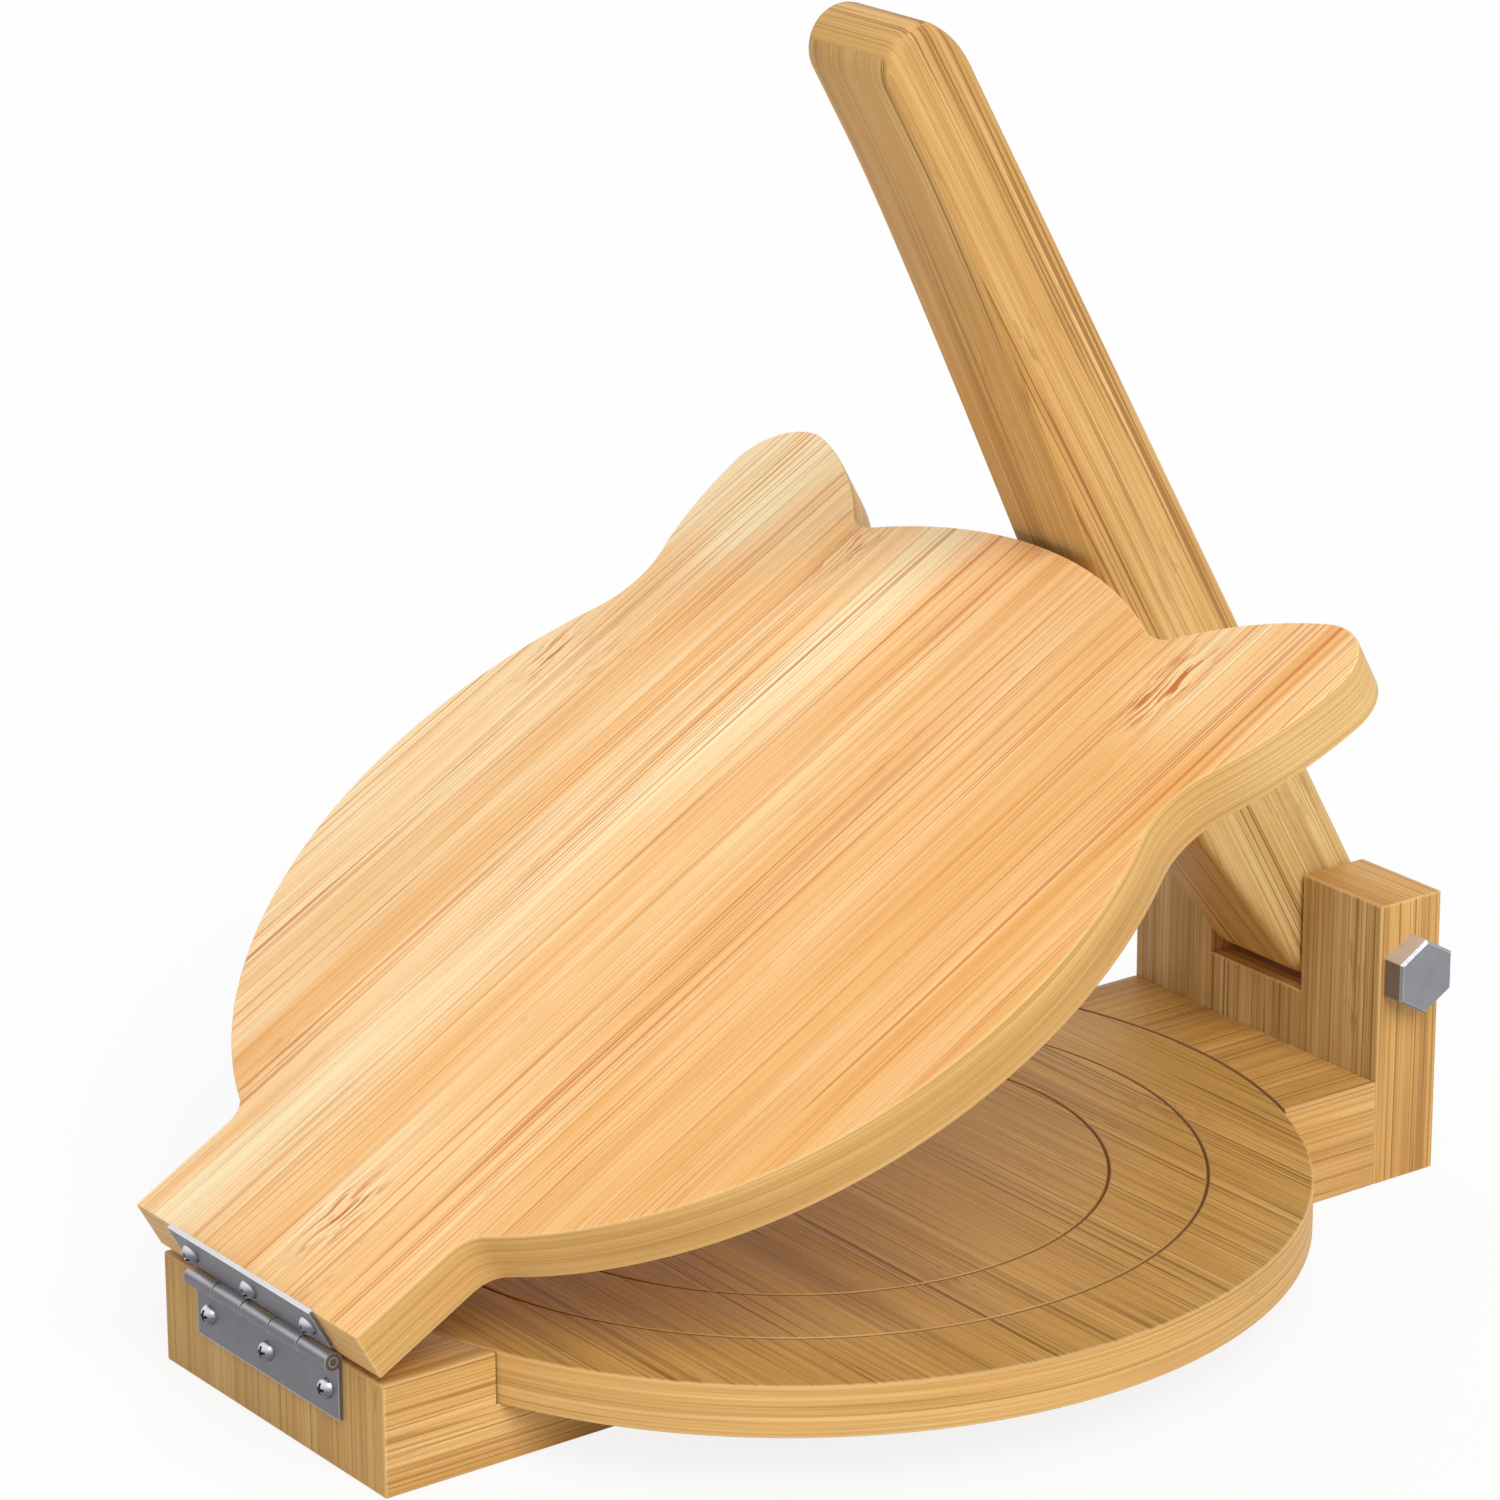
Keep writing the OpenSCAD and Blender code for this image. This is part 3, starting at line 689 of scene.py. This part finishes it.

# %% [markdown]
# ## Rounding a shape
# A packed mesh is all triangles, so its flat ones are merged first, or the rounding would tear at their diagonals.
# Three steps make an arris that looks round at this size, and more would only cost memory. The new faces are
# marked, so that a finish can paint a highlight on them: the mark is an attribute of the mesh, which a shader can
# read by name.

# %% Rounded shape
SAME_POINT = 0.002 * MM
FLAT = math.radians(0.05)
CREASE = math.radians(32)
ARRIS_STEPS = 3


def rounded_shape(mesh, radius, shortest, chosen):
    """A packed mesh with its flat faces merged and its outer edges rounded and marked."""
    shape = bmesh.new()
    shape.from_mesh(mesh)
    bmesh.ops.remove_doubles(shape, verts=shape.verts, dist=SAME_POINT)
    bmesh.ops.dissolve_limit(shape, angle_limit=FLAT, verts=shape.verts, edges=shape.edges)
    arris = shape.faces.layers.float.new("arris")
    edges = outer_edges(shape, shortest, chosen) if radius > 0 else []
    if edges:
        rounded = bmesh.ops.bevel(
            shape, geom=edges, offset=radius, offset_type="OFFSET", segments=ARRIS_STEPS,
            profile=0.5, affect="EDGES", clamp_overlap=False,
        )
        for face in rounded["faces"]:
            face[arris] = 1.0
    for face in shape.faces:
        face.smooth = True
    for edge in shape.edges:
        edge.smooth = edge.calc_face_angle(0) < CREASE
    return shape, len(edges)


print("an arris is", ARRIS_STEPS, "faces wide; creases stay from", round(math.degrees(CREASE)), "degrees")

# %% [markdown]
# ## Standing in for a packed piece
# The packed pieces stay untouched, since other tools measure against them. Each wooden piece is copied, and its
# rounded copy stands in for it and rides on the same body. Rounding only takes wood away, so a copy never grows
# beyond the piece that it stands for.

# %% Rounded copies


def body_of(node):
    """The body that a packed piece rides on."""
    groups = frame["record"]["behaviour"]["bodies"]
    return next(body for body, nodes in groups.items() if node in nodes)


def rounded_copy(node, radius, shortest=2 * MM, chosen=lambda edge: True):
    """A copy of a packed piece with its outer edges rounded, which stands in for it."""
    source = frame["nodes"][node]
    shape, edges = rounded_shape(source.data, radius, shortest, chosen)
    mesh = bpy.data.meshes.new(node + "_finished")
    shape.to_mesh(mesh)
    shape.free()
    piece = bpy.data.objects.new(node + "_finished", mesh)
    bpy.context.scene.collection.objects.link(piece)
    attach(piece, body_of(node))
    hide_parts(node)
    print(node, "edges rounded:", edges, "faces:", len(mesh.polygons))
    return piece


# %% [markdown]
# ## Five wooden pieces
# The plate's outline is a chain of short facets, so there even tiny edges have to be
# rounded, or the arris would have gaps. On the disc only the rim is softened: its two
# ring marks are pressed in and stay crisp. The post is dressed a little finer than the
# rest. The lever's packed shape already has its full round-over, and is only smoothed.

# %% Wooden pieces
plate = rounded_copy("press_plate", 0.6 * MM, shortest=0.2 * MM)
disc = rounded_copy("base_disc", 0.6 * MM, chosen=on_rim)
rail = rounded_copy("base_rail", 0.6 * MM)
post = rounded_copy("lever_post", 0.5 * MM)
lever = rounded_copy("lever", 0)

# %% [markdown]
# ## Where the boards lie
# The plate and the lever stand at an angle, and their fibres lean with them. The hinge pin
# and the pivot bolt give each of them an origin that is right by its making, because the
# joints of the packed model say where they are. The plate leans by as much as it can fall
# before it lies shut, so turning a board's axes by that angle lays them along the plate.
# The middle and radius of the plate's round part, in millimetres up from the pin, are
# what the lines on its wall run round.

# %% Where the boards lie
joint_named = {joint["name"]: joint for joint in frame["joints"]}
HINGE_PIN = Vector(joint_named["plate_hinge"]["pos_m"])
PIVOT = Vector(joint_named["lever_pivot"]["pos_m"])
PLATE_TILT = math.radians(-joint_named["plate_hinge"]["range_deg"][0])
LEVER_TILT = math.radians(29.4)
PLATE_MIDDLE = 147.7
PLATE_RADIUS = 120.5
print("the plate leans", round(math.degrees(PLATE_TILT), 1), "degrees, the lever",
      round(math.degrees(LEVER_TILT), 1))

# %% [markdown]
# ## The plate's strips
# The press plate is the face that everyone sees, so the look of its boards is listed one by one.
# Each cane joint has a middle, a half width and a half length, and each strip with a
# tone of its own a middle, a half width and a change of tone. Chance alone would scatter
# them anywhere. A maker puts the best strips where they show, and so does this table.
# All of it is in millimetres, across the plate and up from the hinge.

# %% Plate strips
PLATE_JOINTS = (
    ((-52, 252), 9, 24),
    ((74, 243), 11, 24),
    ((10, 26), 10, 22),
    ((-104, 184), 7, 18),
)
STRIP_TONES = ((-114, 9, 0.18), (-60, 4.5, -0.30), (-27, 11, 0.20), (102, 4, -0.18))
STRIP_FADE = (0.7, 1.3)


def toned_strips(finish, place, on_top, tone):
    """Lightens or darkens the listed strips of a board's top."""
    for middle, half_width, change in STRIP_TONES:
        away = finish.math("ABSOLUTE", finish.math("SUBTRACT", place[0], middle))
        fade = [half_width * share for share in STRIP_FADE]
        inside = finish.math("MULTIPLY", finish.spread(away, *fade, 1.0, 0.0), on_top)
        tone = finish.shifted(tone, change, inside)
    return tone


print("cane joints on the plate:", len(PLATE_JOINTS), "strips with their own tone:", len(STRIP_TONES))

# %% [markdown]
# ## The plate's finish
# The sanded top is honey, and the routed wall gold with fainter lines, as end fibres blur there. Both ears are a
# paler tone. Towards one side the honey deepens to amber. Each of these is a share from 0 to 1, and multiplying
# two shares keeps a tint to where both are true.

# %% Plate finish
EAR_ACROSS = (45.0, 75.0)
EAR_ALONG = (215.0, 245.0)
EAR_TONE = 0.20
WALL_LINES = 0.5
AMBER = srgb(232, 158, 68)
AMBER_SIDE = (-30.0, 90.0, 0.0, 0.20)


def line_strength(finish, on_top):
    """Full dark lines on a board's top, and fainter ones on its wall."""
    return finish.shifted(WALL_LINES, 1 - WALL_LINES, on_top)


wood = Finish("plate_bamboo")
turn = (PLATE_TILT, 0, 0)
spot, on_top, place = lay_round_board(wood, HINGE_PIN, turn, PLATE_MIDDLE, PLATE_RADIUS)
outward = wood.spread(wood.math("ABSOLUTE", place[0]), *EAR_ACROSS)
ear = wood.math("MULTIPLY", outward, wood.spread(place[1], *EAR_ALONG))
tone = toned_strips(wood, place, on_top, wood.shifted(0.5, by=EAR_TONE, where=ear))
off_the_ears = wood.math("MAXIMUM", wood.math("SUBTRACT", on_top, ear), 0.0)
amber = wood.math("MULTIPLY", off_the_ears, wood.spread(place[0], *AMBER_SIDE))
bamboo(
    wood, spot, seed=5.0, base=tone, slant=-0.0013, joints=PLATE_JOINTS,
    others=(on_top, HONEY, HONEY_LINE), crowding=0.25,
    lines=line_strength(wood, on_top), extra=(amber, AMBER),
)
plate.data.materials.append(wood.material)

# %% [markdown]
# ## The disc and its ring marks
# The disc's top is a little darker, partly browner wood and partly painted shade from the plate above it, and two
# scorched rings show the sizes to press to. The packed model has the rings as grooves, but grooves so shallow
# hardly shade themselves, so the finish paints them dark: the scorch and the painted shade of the grooves
# together. A spot is on a ring when its distance from the middle differs little from the ring's radius. The disc's
# fibres run across the rail's: two boards glued that way keep each other from warping.

# %% Disc finish
RING_RADII = (77.5, 101.5)
RING_HALF_WIDTH = 0.42
RING_FADE = (0.8, 1.2)
RING_DEPTH = (1.5, 1.0)
SCORCH_AND_SHADE = srgb(108, 72, 28)
RING_SCORCH_AND_SHADE_SHARE = 0.9


def ring_mask(finish, place, radii, half_width):
    """1 on rings of those radii round the board's origin, else 0."""
    reach = finish.how_far(place[0], place[1])
    fade = [half_width * share for share in RING_FADE]
    rings = []
    for radius in radii:
        away = finish.math("ABSOLUTE", finish.math("SUBTRACT", reach, radius))
        rings.append(finish.spread(away, *fade, 1.0, 0.0))
    return finish.most(rings)


wood = Finish("disc_bamboo")
turn = (0, 0, math.radians(-90))
spot, on_top, place = lay_round_board(wood, (0, 0, 0), turn, 0.0, DISC_RADIUS / MM)
near_top = wood.spread(place[2], *(DISC_HIGH.z / MM - depth for depth in RING_DEPTH))
# The rings are painted dark: partly scorch, partly painted shade of the grooves.
rings = wood.math("MULTIPLY", ring_mask(wood, place, RING_RADII, RING_HALF_WIDTH), near_top)
# The top is darker and umber: partly browner wood, partly painted shade from the plate above.
bamboo(
    wood, spot, seed=11.0, base=wood.shifted(0.62, by=-0.16, where=on_top),
    others=(wood.math("MULTIPLY", on_top, 0.8), UMBER, UMBER_LINE), crowding=0.15, figure=0.6,
    lines=line_strength(wood, on_top), extra=(wood.math("MULTIPLY", rings, RING_SCORCH_AND_SHADE_SHARE), SCORCH_AND_SHADE),
)
disc.data.materials.append(wood.material)

# %% [markdown]
# ## The rail
# The rail carries the rest, a thick bar of glued strips with its fibres along it. Its ends show cut fibres and are
# a little darker, and its top is painted darker too, as shade from the pieces above it. Where the disc sinks into
# it, a real joint has a thin dark seam, because no light gets between two boards. A gap that fine would need very
# many samples to render cleanly, so the seam's shade is painted as one more ring, drawn just outside the disc and
# only above its underside, in the colour of the scorched rings.

# %% Rail finish
SEAM_OUTSIDE = 0.2
SEAM_HALF_WIDTH = 0.5
FOOT_FADE = 0.2
SEAM_SHARE = 0.95
TOP_DEPTH = (0.6, 0.3)
DARKER_SHARE = 0.55

wood = Finish("rail_bamboo")
spot, on_end, place = lay_block(wood, side="zyx", end="xzy", top="xyz")
disc_foot = DISC_LOW.z / MM
above_foot = wood.spread(place[2], disc_foot - FOOT_FADE, disc_foot + FOOT_FADE, 0.0, SEAM_SHARE)
seam = ring_mask(wood, place, (DISC_RADIUS / MM + SEAM_OUTSIDE,), SEAM_HALF_WIDTH)
rail_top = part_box("base_rail")[1].z / MM
# The top is painted darker, as shade from the pieces above it.
on_top = wood.spread(place[2], *(rail_top - depth for depth in TOP_DEPTH))
darker = wood.math("MULTIPLY", wood.math("MAXIMUM", on_end, on_top), DARKER_SHARE)
# The seam round the disc is painted shade, in the colour of the scorched rings.
bamboo(
    wood, spot, strip=21.5, shift=15.2, seed=23.0,
    base=wood.shifted(0.53, by=-0.07, where=on_top), others=(darker, UMBER, UMBER_LINE),
    crowding=0.5, figure=0.8, lines=0.8, seam=0.9,
    extra=(wood.math("MULTIPLY", seam, above_foot), SCORCH_AND_SHADE),
)
rail.data.materials.append(wood.material)

# %% [markdown]
# ## The post
# The post stands on end, so its fibres run up its sides and over its top from cheek to cheek. It is one block with
# a slot sawn for the lever. Only the faces that look along the rail lie away from the light, and their shade is
# painted: they take a paler tone and the olive set. The seams are drawn more strongly than on the plate, since
# nobody sands a post as finely as a pressing plate.

# %% Post finish
wood = Finish("post_bamboo")
spot, on_end, place = lay_block(wood, side="yzx", end="xzy", top="yxz")
# Painted shade: the faces along the rail take a paler tone and the olive set.
bamboo(
    wood, spot, seed=31.0, base=wood.shifted(0.53, by=0.10, where=on_end),
    others=(wood.math("MULTIPLY", on_end, 0.9), OLIVE, OLIVE_LINE), crowding=0.4, seam=0.75,
)
post.data.materials.append(wood.material)

# %% [markdown]
# ## The lever
# A lever is cut along the grain, or it would snap at its neck. Its board is laid at the lever's own tilt from the
# bolt up, so the fibres follow the handle. The foot, which stays in the slot, is paler and fades to olive, and the
# end faces get a little olive as painted shade. When the lever turns on its bolt, its pattern turns too, because a
# finish made from an object's own coordinates moves with the object.

# %% Lever finish
FOOT_TO_NECK = (10.0, 120.0)
FOOT_OLIVE = 0.5
END_OLIVE = 0.25

wood = Finish("lever_bamboo")
spot, on_end, place = lay_block(
    wood, side="yzx", end="xzy", top="yxz", origin=PIVOT, turn=(LEVER_TILT, 0, 0),
)
low_down = wood.spread(place[2], *FOOT_TO_NECK, FOOT_OLIVE, 0.0)
# The end faces take some olive as painted shade, and the foot turns paler and olive.
olive_share = wood.math("MAXIMUM", wood.math("MULTIPLY", on_end, END_OLIVE), low_down)
bamboo(
    wood, spot, shift=4.0, seed=41.0, base=wood.shifted(0.57, by=0.20, where=low_down),
    others=(olive_share, OLIVE, OLIVE_LINE), figure=0.8,
)
lever.data.materials.append(wood.material)

# %% [markdown]
# ## Finding edges to highlight
# Steel edges get a painted highlight, paler than the faces. A Geometry node has a Pointiness output for finding
# them, but it depends on how finely a mesh is divided, and these flat leaves have few points. A Bevel node
# compares the true surface with a softened one instead: where the two directions differ, there is an edge near by.

# %% Edges for the painted highlight
EDGE_REACH = 0.45 * MM
EDGE_SAMPLES = 6
EDGE_LIMITS = (0.90, 0.995)


def edges_for_highlight(finish, reach):
    """1 near sharp edges, 0 on open faces."""
    soft = finish.add("ShaderNodeBevel", samples=EDGE_SAMPLES)
    finish.plug(soft.inputs["Radius"], reach)
    true = finish.add("ShaderNodeNewGeometry")
    match = finish.add("ShaderNodeVectorMath", operation="DOT_PRODUCT")
    finish.fill(match, (soft.outputs[0], true.outputs["Normal"]))
    return finish.spread(match.outputs["Value"], *EDGE_LIMITS, 1.0, 0.0)


print("an edge shows for", round(EDGE_REACH / MM, 2), "mm on each side")

# %% [markdown]
# ## Steel
# Hinge leaves, screws and bolt are one recipe with three settings: a grey metal with a cloudy tone and a fine
# grain, and a painted highlight on its edges. In a bright room small metal parts mirror the ceiling where they
# face up and the wood below them elsewhere. A plain studio has little to mirror, so that reflection is painted:
# the tone itself turns paler upwards, and painted shade makes it darker underneath. It is fixed to the part, and
# so holds from every side.

# %% Steel
STEEL_HIGHLIGHT = srgb(232, 232, 236)
UNDERSIDE_SHADE = (-0.45, -0.15, 0.8, 0.0)
SHADE = 0.72
CLOUDS_PER_METRE = 120.0
CLOUD_SHARES = (0.3, 0.7, 0.0, 0.4)
GRAINS_PER_METRE = 1400.0
GRAIN_SHARES = (0.3, 0.7)
SMOOTHEST, ROUGHEST = -0.05, 0.08
STEEL_RELIEF = 0.04 * MM
STEEL_RELIEF_STRENGTH = 0.08


def steel(name, colour, roughness, metallic=0.75, edge_highlight_strength=0.7, sky=(0.6, 0.85, 0.55)):
    """Grey metal, with a painted highlight on its edges, a painted reflection where it faces the sky, and painted
    shade underneath.

    sky says between which upward slopes the painted reflection turns it paler, and by how much.
    """
    finish = Finish(name)
    texture = finish.add("ShaderNodeTexCoord")
    here = texture.outputs["Object"]
    grain = finish.noise(here, detail=3.0, roughness=0.6, scale=GRAINS_PER_METRE)
    cloud = finish.noise(here, detail=3.0, roughness=0.6, scale=CLOUDS_PER_METRE)
    upward = finish.parts(texture.outputs["Normal"])[2]
    darker = tuple(channel * SHADE for channel in colour[:3]) + (1,)
    tone = finish.blend(finish.spread(cloud, *CLOUD_SHARES), colour, darker)
    # Painted shade: faces turned down take the darker tone.
    tone = finish.blend(finish.spread(upward, *UNDERSIDE_SHADE), tone, darker)
    # Painted highlight on edges, and painted reflection on faces turned up.
    edge_highlight = finish.math("MULTIPLY", edges_for_highlight(finish, EDGE_REACH), edge_highlight_strength)
    painted_light = finish.most([edge_highlight, finish.spread(upward, sky[0], sky[1], 0.0, sky[2])])
    tone = finish.blend(painted_light, tone, STEEL_HIGHLIGHT)
    limits = (roughness + SMOOTHEST, roughness + ROUGHEST)
    rough = finish.spread(grain, *GRAIN_SHARES, *limits, "LINEAR")
    normal = finish.bump(grain, STEEL_RELIEF_STRENGTH, STEEL_RELIEF)
    finish.surface(Base_Color=tone, Roughness=rough, Metallic=metallic, Normal=normal)
    print(name, "is made of", finish.count, "nodes")
    return finish.material


# %% [markdown]
# ## Handing the steel out
# Hinge, screws and bolt keep their packed shapes, which are right as they are. Only their finish changes, and it
# goes on the object's own material slot: linked to the object, a material leaves the mesh as it was packed. The
# hinge is rolled sheet, the screws are bright and polished, with the strongest painted reflection on their domes,
# and the bolt is dull zinc.

# %% Steel finishes


def refinish(slot, material):
    """Gives every shown packed piece of one material slot its finish."""
    done = 0
    for node in frame["nodes"].values():
        for holder in node.material_slots:
            if holder.material.name == slot:
                holder.link = "OBJECT"
                holder.material = material
                done += 1
    print(slot, "refinished on", done, "pieces")


# sky sets the painted reflection on faces turned up; the screws' is strongest, on their domes.
hinge_sheet = steel("hinge_sheet_steel", srgb(122, 120, 126), 0.42, sky=(0.35, 0.8, 0.6))
screw_bright = steel(
    "screw_bright_steel", srgb(112, 118, 126), 0.26, metallic=0.9, edge_highlight_strength=0.1, sky=(-0.1, 0.6, 0.9),
)
bolt_zinc = steel("bolt_zinc_steel", srgb(147, 147, 153), 0.40, sky=(0.6, 0.85, 0.75))
refinish("hinge_steel", hinge_sheet)
refinish("screw_steel", screw_bright)
refinish("bolt_steel", bolt_zinc)

# %% [markdown]
# ## A white room
# An even white room lights every side of the press, so nothing falls into black. If the room
# were bright enough to look white behind the press, it would wash out the wood. So it has
# two strengths. Rays that see it straight, in a gloss or through glass find full white,
# and all others find half of that. A Light Path node tells these rays apart.

# %% Room
AMBIENT = 0.50
WHITE = (1, 1, 1, 1)


def backdrop_rays(sheet):
    """1 for rays that see the background straight, in a gloss or through glass."""
    path = sheet.add("ShaderNodeLightPath")
    kinds = ("Is Camera Ray", "Is Glossy Ray", "Is Transmission Ray")
    return sheet.most([path.outputs[kind] for kind in kinds])


def glowing(sheet, kind, strength):
    """A white light shader of that strength."""
    shader = sheet.add(kind)
    sheet.plug(shader.inputs["Color"], WHITE)
    sheet.plug(shader.inputs["Strength"], strength)
    return shader


def two_faced(sheet, share, unseen, seen):
    """The first shader where share is 0, the second where it is 1."""
    shader = sheet.add("ShaderNodeMixShader")
    return sheet.fill(shader, (share, unseen.outputs[0], seen.outputs[0]))


world = bpy.data.worlds.new("white_room")
world.use_nodes = True
bpy.context.scene.world = world
room = Sums(world.node_tree)
lighting = glowing(room, "ShaderNodeBackground", AMBIENT)
looking = glowing(room, "ShaderNodeBackground", 1.0)
mixed = two_faced(room, backdrop_rays(room), lighting, looking)
room.plug(room.add("ShaderNodeOutputWorld").inputs[0], mixed.outputs[0])
print("room light", AMBIENT, "nodes", room.count)

# %% [markdown]
# ## Two lamps
# The room alone would leave the press flat. One wide lamp from the right models its forms,
# and a weak one from the other side keeps the far faces readable. They are Suns, so the
# light is equal all over the press, and their wide angle makes soft shadows like those of a
# big window. Together with the room they give an upward face just about its own colour.

# %% Lamps


def sun(name, towards, strength, softness):
    """A distant lamp that shines from that direction."""
    light = bpy.data.lights.new(name, "SUN")
    light.energy = strength
    light.angle = math.radians(softness)
    holder = bpy.data.objects.new(name, light)
    bpy.context.scene.collection.objects.link(holder)
    holder.rotation_euler = Vector(towards).to_track_quat("Z", "Y").to_euler()
    print(name, "strength", strength, "from", towards)


sun("key_light", (0.68, -0.15, 0.71), 1.95, 40)
sun("back_light", (-0.68, 0.05, 0.74), 0.35, 50)

# %% [markdown]
# ## The floor
# The press stands on a plain pale floor. It needs a shadow, or the press would float, but
# a lit floor looks grey beside a white room. So the floor is mostly a white glow for the
# rays that see the background, with a share of matt paint left in, and that share takes
# the shadow. A Shadow Catcher would do this too, but only with a transparent picture.

# %% Floor
FLOOR_REACH = 6.0
FLOOR_GLOW = 0.86
FLOOR_PAINT = (0.9, 0.9, 0.9, 1)

floor_mesh = bpy.data.meshes.new("floor")
corners = [(x * FLOOR_REACH, y * FLOOR_REACH, 0) for x, y in ((-1, -1), (1, -1), (1, 1), (-1, 1))]
floor_mesh.from_pydata(corners, [], [(0, 1, 2, 3)])
floor = bpy.data.objects.new("floor", floor_mesh)
bpy.context.scene.collection.objects.link(floor)
paint = Finish("floor_white")
matt = paint.add("ShaderNodeBsdfDiffuse")
paint.plug(matt.inputs["Color"], FLOOR_PAINT)
glow = glowing(paint, "ShaderNodeEmission", 1.0)
share = paint.math("MULTIPLY", backdrop_rays(paint), FLOOR_GLOW)
paint.show(two_faced(paint, share, matt, glow))
floor.data.materials.append(paint.material)
print("floor", FLOOR_REACH * 2, "m wide")

# %% [markdown]
# ## Colour on the screen
# Blender's default view transform bends bright colours towards white, as film does. This
# lesson wants the wood to come out in the colours that we wrote, so it uses Standard, which
# leaves them as they are.

# %% View
bpy.context.scene.view_settings.view_transform = "Standard"
print("view transform", bpy.context.scene.view_settings.view_transform)

# %% [markdown]
